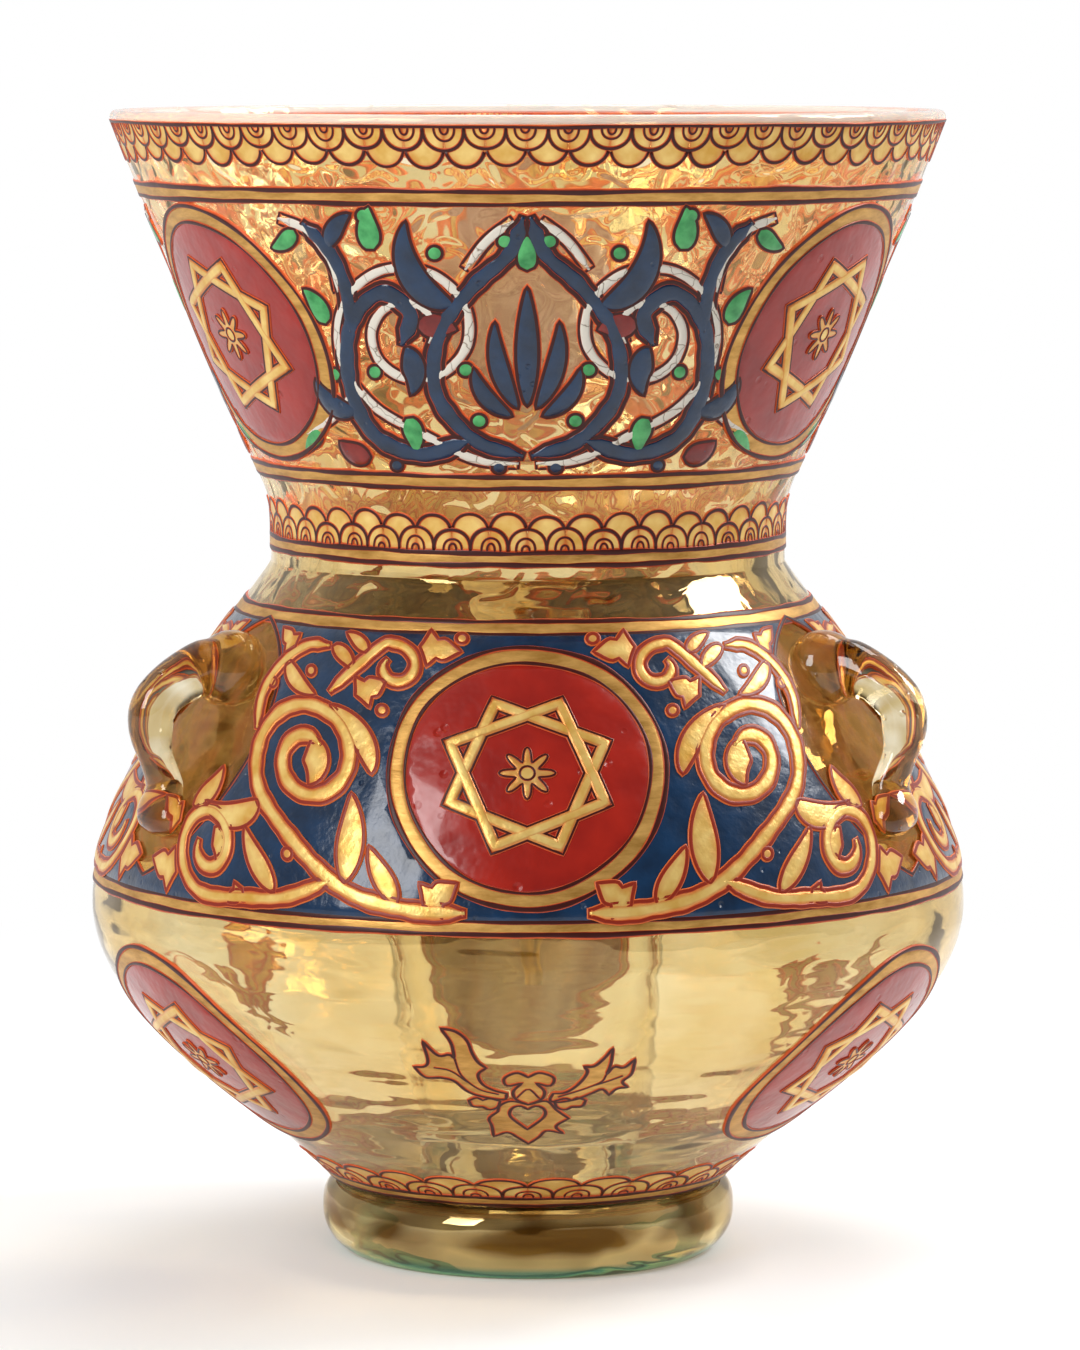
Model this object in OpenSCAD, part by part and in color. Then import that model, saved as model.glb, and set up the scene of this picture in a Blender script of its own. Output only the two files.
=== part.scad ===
// Enamelled glass mosque lamp: a blown vessel with a flared neck, an applied foot and
// three trailed handles, raised enamel and gilding on the outside, and a small oil cup
// with a brass wick holder standing inside. Millimetres, +Z up, front of the lamp
// towards -Y, origin on the standing face at the lamp's axis.

/* [Vessel] */
// Height from the standing face to the top of the lip
lamp_h = 275; // [262:1:292]
// Outer radius of the lip
lip_r = 99.6; // [94:0.2:108]
// Lean of the neck wall at the lip, from upright, in degrees
neck_lean = 21; // [17:0.5:25]
// Outer radius of the waist between neck and body
waist_r = 61.8; // [56:0.2:66]
// Height of the waist
waist_z = 167.5; // [162:0.5:172]
// Outer radius of the belly
belly_r = 105.3; // [100:0.1:112]
// Height of the widest ring of the belly
belly_z = 85; // [81:0.5:88]
// Slope of the underside where it leaves the foot, above level, in degrees
underside_slope = 52; // [46:1:56]
// Thickness of the blown wall
wall = 3.2; // [2.2:0.1:4.4]
// Thickness of the floor
floor_t = 4.5; // [3:0.1:6]
// Radius of the pushed-up kick in the middle of the floor
kick_r = 18; // [12:0.5:19]
// Height of the kick
kick_h = 5; // [2:0.5:8]

/* [Foot] */
// Height of the foot
foot_h = 17; // [14:0.5:20]
// Outer radius where the vessel sits on the foot
foot_top_r = 47; // [45:0.5:49]
// Outer radius of the rolled bulge
foot_bulge_r = 49.9; // [49.2:0.1:54]
// Height of the bulge's widest ring
foot_bulge_z = 9.5; // [8:0.5:11]
// Outer radius of the standing ring
foot_rest_r = 44; // [42:0.5:46]
// Width of the standing ring
foot_rest_w = 6; // [4:0.5:8]
// Thickness of the foot's wall
foot_wall = 5; // [3.5:0.1:6.5]

/* [Handles] */
// Angle of the front handles, each side of the front, in degrees
handle_spread = 60; // [56:1:64]
// Height of the middle of the pad where each handle starts
handle_pad_z = 144; // [142:0.5:146]
// Radius of the round pad
pad_r = 9.6; // [8.6:0.1:10.6]
// Depth of the pad's centre behind the face of the wall
pad_sunk = 0.6; // [0:0.1:3]
// Height where the trail leaves the pad
handle_arm_z = 147.5; // [146:0.5:149]
// Radius of the trail where it leaves the pad
arm_r = 6.8; // [6.2:0.1:7.4]
// Height of the bow's outermost point
handle_bow_z = 133.5; // [131:0.5:136]
// Distance from the wall to the trail's centre line at the bow
handle_bow_out = 13.9; // [12.5:0.1:17]
// Height where the trail is pressed back on the wall
handle_press_z = 118.5; // [117:0.5:120]
// Height of the tail's end
handle_tail_z = 107; // [105:0.5:109]
// Radius of the glass trail at the bow
trail_r = 4.9; // [4.1:0.1:5.5]
// Radius of the flattened tail, across
tail_r = 7.4; // [6.6:0.1:8]
// Distance of the pad and the bow from the middle of the bare oval, away from the front
handle_aside = 3.5; // [0:0.5:6]
// Distance by which the tail was drawn back towards the front as it cooled
tail_drift = 5; // [0:0.5:7]

/* [Enamel and gilding] */
// Thickness of the fired enamel
enamel_t = 0.45; // [0.3:0.05:0.8]
// Thickness of the gilded lines
gilt_t = 0.3; // [0.2:0.05:0.6]
// Radius of the red field of each medallion
field_r = 28.2; // [25:0.2:29]
// Width of the gilded ring round each field
ring_w = 4; // [3:0.1:4.6]
// Angle of the front neck and belly medallions, each side of the front, in degrees
medallion_spread = 59; // [56:1:64]
// Height of the neck medallions' centres
neck_medallion_z = 223.5; // [222:0.5:225]
// Height of the body medallions' centres
body_medallion_z = 126; // [125:0.5:127]
// Height of the belly medallions' centres
belly_medallion_z = 53.5; // [52:0.5:56]
// Height of the gilded fillets
fillet_h = 2.8; // [2:0.1:3.4]
// Height of the fillet below the lip scales
lip_fillet_z = 255; // [255:0.5:258]
// Height of the fillet below the neck medallions
neck_fillet_z = 189; // [186:0.5:190]
// Height of the fillet at the waist
waist_fillet_z = 171; // [169:0.5:174]
// Height of the fillet over the blue band
shoulder_fillet_z = 155.6; // [155:0.1:157]
// Height of the fillet under the blue band
belly_fillet_z = 91.4; // [88:0.1:92]
// Height of the fillet above the foot
foot_fillet_z = 18.8; // [17.4:0.1:19.8]
// Height of the thinner fillet above the foot
foot_fillet_h = 1.9; // [1.4:0.1:2.6]
// Half width of the bare pointed oval behind each handle
oval_w = 23; // [20:0.5:25]
// Half height of the bare pointed oval
oval_h = 34; // [31:0.5:36]

/* [Oil cup] */
// Radius of the cup's base
cup_base_r = 27; // [25:0.5:30]
// Radius of the cup's rim
cup_rim_r = 35; // [32:0.5:40]
// Height of the cup
cup_h = 66; // [55:1:75]
// Thickness of the cup's wall
cup_wall = 2.2; // [1.6:0.1:3]
// Thickness of the cup's base
cup_base_t = 3.5; // [2.5:0.1:5]
// Height of the hollow under the cup's base
cup_hollow_h = 1.5; // [0.8:0.1:2]
// Width of the cup's standing ring
cup_ring_w = 4; // [3:0.5:6]

/* [Wick holder] */
// Width of the brass strap across the cup
strap_w = 7; // [6:0.5:10]
// Thickness of the strap
strap_t = 0.9; // [0.6:0.1:1.4]
// Length of the strap's down-turned ends
strap_drop = 9; // [6:0.5:14]
// Clearance between the down-turned ends and the cup's rim
strap_gap = 0.4; // [0.2:0.1:1]
// Radius of the wick tube's bore
wick_bore_r = 2; // [1.5:0.1:2.4]
// Thickness of the wick tube's wall
wick_tube_wall = 0.7; // [0.5:0.1:0.8]
// Length of the wick tube below the strap
wick_tube_l = 26; // [18:1:34]
// Radius of the wick tube's collar
wick_collar_r = 5; // [4:0.1:6]
// Height of the wick tube's collar above the strap
wick_collar_h = 5; // [3:0.5:8]

/* [Hidden] */
$fn = 96;

// Compass of the lamp: the front faces -Y, left and right are as seen from the front
front = -90;
back = 90;
third = 120;
rear_left = front - third;
rear_right = front + third;
handle_left_az = front - handle_spread;
handle_right_az = front + handle_spread;
medallion_left_az = front - medallion_spread;
medallion_right_az = front + medallion_spread;

// Steps in each curve of the lamp's outline, and in each small round
curve_steps = 14;
round_steps = 8;

// Pull of each outline curve on its ends, as lengths along the end tangents
underside_pull = 20;
belly_pull_down = 28.5;
belly_pull_up = 31.5;
shoulder_pull = 3;
waist_pull = 26;
lip_pull = 112;

function bezier(p, t) =
    let (u = 1 - t)
    u * u * u * p[0] + 3 * u * u * t * p[1] + 3 * u * t * t * p[2] + t * t * t * p[3];
function curve(p, steps) = [for (i = [0 : steps - 1]) bezier(p, i / steps)];
function unit(v) = v / norm(v);
function reversed(v) = [for (i = [len(v) - 1 : -1 : 0]) v[i]];
function radius_table(line) = [for (p = line) [p[1], p[0]]];

// Outward normal of an outline that runs upwards, at point i
function line_normal(line, i) =
    let (t = unit(line[min(i + 1, len(line) - 1)] - line[max(i - 1, 0)]))
    [t[1], -t[0]];
function offset_line(line, d) = [for (i = [0 : len(line) - 1]) line[i] + d * line_normal(line, i)];

// The vessel's outer outline, from the foot to the lip, as points [radius, height]
foot_point = [foot_top_r, foot_h];
belly_point = [belly_r, belly_z];
waist_point = [waist_r, waist_z];
lip_point = [lip_r, lamp_h - wall / 2 * (1 + sin(neck_lean))];
underside_curve = [
    foot_point,
    foot_point + underside_pull * [cos(underside_slope), sin(underside_slope)],
    belly_point - [0, belly_pull_down],
    belly_point
];
shoulder_curve = [
    belly_point,
    belly_point + [0, belly_pull_up],
    waist_point - [0, shoulder_pull],
    waist_point
];
neck_curve = [
    waist_point,
    waist_point + [0, waist_pull],
    lip_point - lip_pull * [sin(neck_lean), cos(neck_lean)],
    lip_point
];
outer = concat(
    curve(underside_curve, curve_steps),
    curve(shoulder_curve, curve_steps),
    curve(neck_curve, curve_steps),
    [lip_point]
);
outer_table = radius_table(outer);
inner = offset_line(outer, -wall);
inner_table = radius_table(inner);

// Outer radius and outward normal of the wall at a height
function wall_r(z) = lookup(z, outer_table);
function wall_normal(z) =
    let (step = 1, t = unit([wall_r(z + step) - wall_r(z - step), 2 * step]))
    [t[1], -t[0]];

// Floor of the vessel, with the kick as half a cosine wave
floor_z = foot_h + floor_t;
floor_r = lookup(floor_z, inner_table);
function kick_line(z) = [
    for (i = [0 : round_steps])
        [kick_r * i / round_steps, z + kick_h * (1 + cos(180 * i / round_steps)) / 2]
];

// The lip, half a round as thick as the wall
lip_centre = lip_point - wall / 2 * [cos(neck_lean), -sin(neck_lean)];
lip_round = [
    for (i = [1 : round_steps - 1])
        let (a = -neck_lean + 180 * i / round_steps)
        lip_centre + wall / 2 * [cos(a), sin(a)]
];

vessel_outline = concat(
    kick_line(foot_h),
    outer,
    lip_round,
    reversed([for (p = inner) if (p[1] > floor_z) p]),
    [[floor_r, floor_z]],
    reversed(kick_line(floor_z))
);

module vessel() {
    color("goldenrod", 0.55)
        rotate_extrude()
            polygon(vessel_outline);
}

// Everything inside the vessel's outer face, for seating what is fused to the wall
module vessel_envelope() {
    rotate_extrude()
        polygon(concat([[0, foot_h]], outer, [[0, lip_point[1]]]));
}

// The foot: a blown ring with a rolled bulge, flat where it stands
foot_rest_inner_r = foot_rest_r - foot_rest_w;
foot_swell = foot_bulge_r - foot_top_r;
foot_upper = [
    [foot_top_r, foot_h],
    [foot_top_r + foot_swell, foot_h - foot_swell / 2],
    [foot_bulge_r, foot_bulge_z + foot_swell],
    [foot_bulge_r, foot_bulge_z]
];
foot_lower = [
    [foot_bulge_r, foot_bulge_z],
    [foot_bulge_r, foot_bulge_z / 2],
    [(foot_bulge_r + foot_rest_r) / 2, foot_bulge_z / 6],
    [foot_rest_r, 0]
];
foot_inside = [
    [foot_rest_inner_r, 0],
    [foot_bulge_r - foot_wall, foot_bulge_z / 4],
    [foot_bulge_r - foot_wall, foot_bulge_z + foot_swell],
    [foot_top_r - foot_wall, foot_h]
];

module foot() {
    color("darkgoldenrod", 0.6)
        rotate_extrude()
            polygon(concat(
                curve(foot_upper, round_steps),
                curve(foot_lower, round_steps),
                [[foot_rest_r, 0]],
                curve(foot_inside, round_steps),
                [[foot_top_r - foot_wall, foot_h]]
            ));
}

// A handle is one gather of hot glass: a round pad dropped on the shoulder, a trail drawn
// out of it in a bow that stands off the wall, a place where the trail is pressed back,
// and a flattened tail down the wall. Its centre line is a list of [radius, height].
trail_steps = 9;
trail_sides = 16;
arm_out = 2;
arm_fall = 3;
press_out = 2.6;
tail_out = 1.6;
arm_point = [wall_r(handle_arm_z) + arm_out, handle_arm_z];
bow_point = [wall_r(handle_bow_z) + handle_bow_out, handle_bow_z];
press_point = [wall_r(handle_press_z) + press_out, handle_press_z];
tail_point = [wall_r(handle_tail_z) + tail_out, handle_tail_z];
arm_reach = (bow_point[0] - arm_point[0]) / 2;
bow_drop = (handle_arm_z - handle_bow_z) / 2;
press_drop = (handle_bow_z - handle_press_z) / 2;
tail_drop = (handle_press_z - handle_tail_z) / 3;
arm_curve = [
    arm_point,
    arm_point + [arm_reach, -arm_fall],
    bow_point + [0, bow_drop],
    bow_point
];
bow_curve = [
    bow_point,
    bow_point - [0, press_drop],
    press_point + [press_drop / 4, press_drop],
    press_point
];
tail_curve = [
    press_point,
    press_point - [0, tail_drop],
    tail_point + [-tail_drop / 2, tail_drop],
    tail_point
];
trail = concat(
    curve(arm_curve, trail_steps),
    curve(bow_curve, trail_steps),
    curve(tail_curve, trail_steps),
    [tail_point]
);

// Half thickness of the trail in its plane and across it, at each stage: where it is
// pressed on the wall it gets thinner and spreads
press_thin = 0.9;
press_spread = 0.7;
tail_thin = 0.7;
arm_half = [arm_r, arm_r];
bow_half = [trail_r, trail_r];
press_half = [trail_r - press_thin, trail_r + press_spread];
tail_half = [trail_r - tail_thin, tail_r];
function blend(a, b, t) = a + (b - a) * (3 - 2 * t) * t * t;
function trail_half(s) =
    s < 1 ? blend(arm_half, bow_half, s)
    : s < 2 ? blend(bow_half, press_half, s - 1)
    : blend(press_half, tail_half, s - 2);

// Rounding of the trail's two ends: the last rings shrink as a dome does, to a small tip
end_round = 0.25;
tip_share = 0.15;
function dome(s) =
    let (e = min(s, 3 - s) / end_round)
    e >= 1 ? 1 : max(sqrt(1 - pow(1 - e, 2)), tip_share);

function trail_ring(i) =
    let (
        s = i / trail_steps,
        n = line_normal(trail, i),
        half = trail_half(s) * dome(s),
        aside = (s > 1 ? blend(0, tail_drift, (s - 1) / 2) : 0) - handle_aside
    )
    [
        for (k = [0 : trail_sides - 1])
            let (
                a = 360 * k / trail_sides,
                p = trail[i] + n * half[0] * cos(a)
            )
            [p[0], aside + half[1] * sin(a), p[1]]
    ];

// A tube through rings of points, closed by a fan at each end
module tube(rings) {
    sides = len(rings[0]);
    last = len(rings) - 1;
    points = [for (r = rings) for (p = r) p];
    skin = [
        for (i = [0 : last - 1]) for (k = [0 : sides - 1])
            let (a = i * sides + k, b = i * sides + (k + 1) % sides)
            each [[a, b + sides, b], [a, a + sides, b + sides]]
    ];
    start_cap = [for (k = [1 : sides - 2]) [0, k, k + 1]];
    end_cap = [for (k = [1 : sides - 2]) [last * sides, last * sides + k + 1, last * sides + k]];
    polyhedron(points, concat(skin, start_cap, end_cap));
}

// Each front handle leans away from the front and its tail drifts back towards it, so the
// right handle is the mirror of the left one
module handle(az) {
    color("khaki", 0.6)
        rotate(az)
            difference() {
                union() {
                    tube([for (i = [0 : len(trail) - 1]) trail_ring(i)]);
                    translate([wall_r(handle_pad_z) - pad_sunk, -handle_aside, handle_pad_z])
                        sphere(r = pad_r);
                }
                vessel_envelope();
            }
}

// A skin of even thickness on the outside of the vessel, between two heights
function skin_line(z1, z2) = concat(
    [[wall_r(z1), z1]],
    [for (p = outer) if (p[1] > z1 && p[1] < z2) p],
    [[wall_r(z2), z2]]
);
module skin(z1, z2, thick) {
    line = skin_line(z1, z2);
    rotate_extrude()
        polygon(concat(line, reversed(offset_line(line, thick))));
}

// Turns the Z axis to the wall's outward normal at a place on the lamp
module on_wall(az, z) {
    n = wall_normal(z);
    rotate(az)
        translate([wall_r(z), 0, z])
            rotate([0, atan2(n[0], n[1]), 0])
                children();
}

// A round plug through the wall, long enough for the wall's curve across it
function plug_reach(r) = r / 2;
module plug(az, z, r) {
    on_wall(az, z)
        translate([0, 0, -plug_reach(r)])
            cylinder(r = r, h = 2 * plug_reach(r));
}

// A round enamel field, and the gilded ring that frames it
ring_r = field_r + ring_w;
module medallion(az, z) {
    color("firebrick")
        intersection() {
            skin(z - field_r, z + field_r, enamel_t);
            plug(az, z, field_r);
        }
}
module medallion_ring(az, z) {
    color("darkkhaki")
        difference() {
            intersection() {
                skin(z - ring_r, z + ring_r, gilt_t);
                plug(az, z, ring_r);
            }
            plug(az, z, field_r);
        }
}

// The blue band, open where the medallions lie and behind each handle, where a bare
// pointed oval is left: the lens that two equal arcs share
oval_arc_r = (oval_h * oval_h + oval_w * oval_w) / (2 * oval_w);
band_bottom_z = belly_fillet_z + fillet_h;
band_top_z = shoulder_fillet_z;
oval_rise = 3.5;
oval_z = (band_bottom_z + band_top_z) / 2 + oval_rise;
module oval(az) {
    on_wall(az, oval_z)
        translate([0, 0, -plug_reach(oval_h)])
            intersection_for (side = [-1, 1])
                translate([0, side * (oval_arc_r - oval_w), 0])
                    cylinder(r = oval_arc_r, h = 2 * plug_reach(oval_h));
}
module blue_band() {
    color("midnightblue")
        difference() {
            skin(band_bottom_z, band_top_z, enamel_t);
            for (az = [front, rear_left, rear_right])
                plug(az, body_medallion_z, ring_r);
            for (az = [handle_left_az, handle_right_az, back])
                oval(az);
        }
}

module fillet(z, h = fillet_h) {
    color("darkkhaki")
        skin(z, z + h, gilt_t);
}

// The oil cup: a tapered beaker that stands on the vessel's floor, round the kick
cup_z = floor_z;
cup_top_z = cup_z + cup_h;
module oil_cup() {
    color("lightcyan", 0.5)
        translate([0, 0, cup_z])
            rotate_extrude()
                polygon([
                    [0, kick_h + cup_hollow_h],
                    [kick_r, kick_h + cup_hollow_h],
                    [cup_base_r - cup_ring_w, 0],
                    [cup_base_r, 0],
                    [cup_rim_r, cup_h],
                    [cup_rim_r - cup_wall, cup_h],
                    [cup_base_r - cup_wall, kick_h + cup_hollow_h + cup_base_t],
                    [0, kick_h + cup_hollow_h + cup_base_t]
                ]);
}

// The wick holder: a brass strap across the cup's rim, its ends turned down outside,
// and a tube through its middle whose collar rests on the strap
strap_half = cup_rim_r + strap_gap + strap_t;
wick_tube_r = wick_bore_r + wick_tube_wall;
module wick_strap() {
    color("peru")
        difference() {
            translate([0, strap_w / 2, cup_top_z])
                rotate([90, 0, 0])
                    linear_extrude(strap_w)
                        polygon([
                            [-strap_half, strap_t],
                            [-strap_half, -strap_drop],
                            [-strap_half + strap_t, -strap_drop],
                            [-strap_half + strap_t, 0],
                            [strap_half - strap_t, 0],
                            [strap_half - strap_t, -strap_drop],
                            [strap_half, -strap_drop],
                            [strap_half, strap_t]
                        ]);
            translate([0, 0, cup_top_z - strap_drop])
                cylinder(r = wick_tube_r, h = 2 * strap_drop);
        }
}
module wick_tube() {
    bottom_z = cup_top_z - wick_tube_l;
    color("peru")
        rotate_extrude()
            polygon([
                [wick_bore_r, bottom_z],
                [wick_tube_r, bottom_z],
                [wick_tube_r, cup_top_z + strap_t],
                [wick_collar_r, cup_top_z + strap_t],
                [wick_tube_r, cup_top_z + strap_t + wick_collar_h],
                [wick_bore_r, cup_top_z + strap_t + wick_collar_h]
            ]);
}

vessel();
foot();
handle(handle_left_az);  // handle_left
mirror([1, 0, 0]) handle(handle_left_az);  // handle_right
handle(back);  // handle_back
medallion(medallion_left_az, neck_medallion_z);  // neck_medallion_left
medallion(medallion_right_az, neck_medallion_z);  // neck_medallion_right
medallion(back, neck_medallion_z);  // neck_medallion_back
medallion_ring(medallion_left_az, neck_medallion_z);  // neck_ring_left
medallion_ring(medallion_right_az, neck_medallion_z);  // neck_ring_right
medallion_ring(back, neck_medallion_z);  // neck_ring_back
medallion(front, body_medallion_z);  // body_medallion_front
medallion(rear_left, body_medallion_z);  // body_medallion_rear_left
medallion(rear_right, body_medallion_z);  // body_medallion_rear_right
medallion_ring(front, body_medallion_z);  // body_ring_front
medallion_ring(rear_left, body_medallion_z);  // body_ring_rear_left
medallion_ring(rear_right, body_medallion_z);  // body_ring_rear_right
medallion(medallion_left_az, belly_medallion_z);  // belly_medallion_left
medallion(medallion_right_az, belly_medallion_z);  // belly_medallion_right
medallion(back, belly_medallion_z);  // belly_medallion_back
medallion_ring(medallion_left_az, belly_medallion_z);  // belly_ring_left
medallion_ring(medallion_right_az, belly_medallion_z);  // belly_ring_right
medallion_ring(back, belly_medallion_z);  // belly_ring_back
blue_band();
fillet(lip_fillet_z);  // lip_fillet
fillet(neck_fillet_z);  // neck_fillet
fillet(waist_fillet_z);  // waist_fillet
fillet(shoulder_fillet_z);  // shoulder_fillet
fillet(belly_fillet_z);  // belly_fillet
fillet(foot_fillet_z, foot_fillet_h);  // foot_fillet
oil_cup();
wick_strap();
wick_tube();
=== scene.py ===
import math

import bmesh
import bpy
import numpy as np
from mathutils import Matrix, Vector
from mathutils.geometry import delaunay_2d_cdt


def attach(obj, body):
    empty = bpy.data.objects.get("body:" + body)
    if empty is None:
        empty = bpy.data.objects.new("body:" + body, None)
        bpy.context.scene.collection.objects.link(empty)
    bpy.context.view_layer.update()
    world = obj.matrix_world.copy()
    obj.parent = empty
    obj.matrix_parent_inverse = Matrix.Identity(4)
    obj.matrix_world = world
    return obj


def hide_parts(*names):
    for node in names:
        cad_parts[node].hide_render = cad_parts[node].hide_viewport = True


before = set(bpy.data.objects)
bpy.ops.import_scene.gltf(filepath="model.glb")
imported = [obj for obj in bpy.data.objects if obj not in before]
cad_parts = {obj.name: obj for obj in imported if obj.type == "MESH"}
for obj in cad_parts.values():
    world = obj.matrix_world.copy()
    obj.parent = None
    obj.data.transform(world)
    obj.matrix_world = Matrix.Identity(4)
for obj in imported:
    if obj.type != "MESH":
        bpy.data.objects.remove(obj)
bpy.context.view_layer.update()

scene = bpy.context.scene
scene.view_settings.view_transform = "Standard"

# Camera
# The photograph's viewing angle: a long lens a metre and a half in front of the lamp, level
# with its lip and tilted a little down.
camera = bpy.data.objects.new("camera", bpy.data.cameras.new("camera"))
camera.location = (0.0029, -1.446, 0.2933)
camera.rotation_euler = (math.radians(90 - 6.09), 0, 0)
camera.data.lens = 160.7
camera.data.sensor_width = 36
scene.collection.objects.link(camera)
scene.camera = camera

# Vessel
# One blown shell of amber glass, body and flared neck in one, with a fired lustre on its outside.
# It is free-blown, so its inner face waves a little, and the lip is left clear of lustre; its rounded top is
# painted light, partly opaque near-white.
MM = 0.001
WALL = 3.2
FLOOR_Z = 21.5
UNDERSIDE_Z = 17.0
KICK_R, KICK_H, KICK_STEPS = 18.0, 5.0, 8
NECK_LEAN = math.radians(21)
UNDERSIDE_SLOPE = math.radians(52)
FOOT_JOIN = np.array([47.0, UNDERSIDE_Z])
BELLY = np.array([105.3, 85.0])
WAIST = np.array([61.8, 167.5])
LAMP_H = 275
LIP = np.array([99.6, LAMP_H - WALL / 2 * (1 + math.sin(NECK_LEAN))])
UP = np.array([0.0, 1.0])


def bezier(a, b, c, d, steps):
    t = np.linspace(0, 1, steps, endpoint=False)[:, None]
    return (1 - t) ** 3 * a + 3 * (1 - t) ** 2 * t * b + 3 * (1 - t) * t ** 2 * c + t ** 3 * d


def beside(ahead):
    """Unit steps to the right of the steps ahead."""
    ahead = ahead / (np.linalg.norm(ahead, axis=1)[:, None] + 1e-9)
    return np.stack([ahead[:, 1], -ahead[:, 0]], axis=1)


def outward(line):
    return beside(np.gradient(line, axis=0))


def lengths(line):
    """Length along a line from its start to each of its points."""
    return np.concatenate([[0], np.cumsum(np.linalg.norm(np.diff(line, axis=0), axis=1))])


UNDERSIDE_PULL, LIP_PULL = 20, 112
BELLY_PULL_DOWN, BELLY_PULL_UP = 28.5, 31.5
WAIST_PULL_DOWN, WAIST_PULL_UP = 3, 26
underside_pull = UNDERSIDE_PULL * np.array([math.cos(UNDERSIDE_SLOPE), math.sin(UNDERSIDE_SLOPE)])
lip_pull = LIP_PULL * np.array([math.sin(NECK_LEAN), math.cos(NECK_LEAN)])
outer_wall = np.concatenate([
    bezier(FOOT_JOIN, FOOT_JOIN + underside_pull, BELLY - BELLY_PULL_DOWN * UP, BELLY, steps=44),
    bezier(BELLY, BELLY + BELLY_PULL_UP * UP, WAIST - WAIST_PULL_DOWN * UP, WAIST, steps=52),
    bezier(WAIST, WAIST + WAIST_PULL_UP * UP, LIP - lip_pull, LIP, steps=52),
    [LIP],
])
inner_wall = outer_wall - WALL * outward(outer_wall)
wall_length = lengths(outer_wall)


def along_wall(z):
    """Length along the outside of the wall, from the foot up to a height, in mm."""
    return float(np.interp(z, outer_wall[:, 1], wall_length))


def wall_r(z):
    return float(np.interp(z, outer_wall[:, 1], outer_wall[:, 0]))


def spin(name, profile, sides, material, wave=None, closed=False):
    """Turns a profile of (radius, height) in mm round the Z axis; wave moves points in or out."""
    turn = np.arange(sides) * 2 * math.pi / sides
    points, rings = [], []
    for i, (r, z) in enumerate(profile):
        if r < 1e-6:
            rings.append([len(points)])
            points.append((0, 0, z * MM))
            continue
        radius = r + (wave(i, z, turn) if wave else 0 * turn)
        rings.append(list(range(len(points), len(points) + sides)))
        points += [(a * math.sin(t) * MM, -a * math.cos(t) * MM, z * MM) for a, t in zip(radius, turn)]
    faces = []
    for low, high in zip(rings, rings[1:] + (rings[:1] if closed else [])):
        for k in range(sides):
            n = (k + 1) % sides
            if len(low) == 1:
                faces.append((low[0], high[n], high[k]))
            elif len(high) == 1:
                faces.append((low[k], low[n], high[0]))
            else:
                faces.append((low[k], low[n], high[n], high[k]))
    mesh = bpy.data.meshes.new(name)
    mesh.from_pydata(points, [], faces)
    return smooth_piece(name, mesh, material)


def smooth_piece(name, mesh, material):
    """An object of one material, with smooth faces turned outwards."""
    work = bmesh.new()
    work.from_mesh(mesh)
    bmesh.ops.recalc_face_normals(work, faces=work.faces)
    work.to_mesh(mesh)
    work.free()
    mesh.polygons.foreach_set("use_smooth", [True] * len(mesh.polygons))
    mesh.materials.clear()
    mesh.materials.append(material)
    mesh.polygons.foreach_set("material_index", [0] * len(mesh.polygons))
    piece = bpy.data.objects.new(name, mesh)
    scene.collection.objects.link(piece)
    return piece


def colour(code):
    """Linear colour from an sRGB hex value."""
    parts = [int(code[i:i + 2], 16) / 255 for i in (1, 3, 5)]
    return (*[c / 12.92 if c <= 0.04045 else ((c + 0.055) / 1.055) ** 2.4 for c in parts], 1.0)


def add(tree, kind, inputs=None, stops=(), **settings):
    """Adds a node with its settings; a kind with no prefix is a shader node. Inputs are values, hex colours,
    or what to link: an output, or a node for its first output. Stops are the places and colours of a ramp:
    its two ends, then any between."""
    node = tree.nodes.new(kind if "Node" in kind else "ShaderNode" + kind)
    for name, value in settings.items():
        setattr(node, name, value)
    for name, value in (inputs or {}).items():
        if isinstance(value, bpy.types.Node):
            value = value.outputs[0]
        if isinstance(value, bpy.types.NodeSocket):
            tree.links.new(value, node.inputs[name])
        else:
            node.inputs[name].default_value = colour(value) if isinstance(value, str) else value
    for k, (position, code) in enumerate(stops):
        element = node.color_ramp.elements[k] if k < 2 else node.color_ramp.elements.new(position)
        element.position, element.color = position, colour(code)
    return node


def start_material(name):
    """An empty material, its tree, and the object's own coordinates in metres."""
    material = bpy.data.materials.new(name)
    material.use_nodes = True
    material.node_tree.nodes.clear()
    place = add(material.node_tree, "TexCoord").outputs["Object"]
    return material, material.node_tree, place


def clear_to_shadow(tree, shader, tint):
    """Glass lets light through to what stands behind it, with its own tint."""
    path = add(tree, "LightPath")
    light = add(tree, "BsdfTransparent", {"Color": tint})
    both = add(tree, "MixShader", {0: path.outputs["Is Shadow Ray"], 1: shader, 2: light})
    add(tree, "OutputMaterial", {"Surface": both})


# Lustre glass: clear glass with a thin fired amber lustre on its outside, up to the lip. It is clear enough
# to show the far wall, its surface is rippled from blowing, and the lustre is thinner here and thicker there.
lustre_glass, tree, place = start_material("lustre glass")
height = add(tree, "SeparateXYZ", {"Vector": place}).outputs["Z"]
clouds = add(tree, "TexNoise", {"Vector": place, "Scale": 1 / (45 * MM), "Detail": 3.0, "Roughness": 0.55})
amber = add(tree, "ValToRGB", {"Fac": clouds}, [(0.32, "#dfb660"), (0.68, "#f7e2ae")])
below_lip = add(tree, "MapRange", {"Value": height, "From Min": 270.5 * MM, "From Max": 269 * MM})
film = add(tree, "Attribute", attribute_name="film")
film = add(tree, "Math", {0: film.outputs["Fac"], 1: below_lip}, operation="MULTIPLY")
body_colour = add(tree, "Mix", {0: film, 6: "#f7f6ee", 7: amber}, data_type="RGBA")
watery = add(tree, "TexNoise", {"Vector": place, "Scale": 1 / (13 * MM), "Detail": 0.8})
watery = add(tree, "Math", {0: watery, 1: 0.7}, operation="MULTIPLY")
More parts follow.
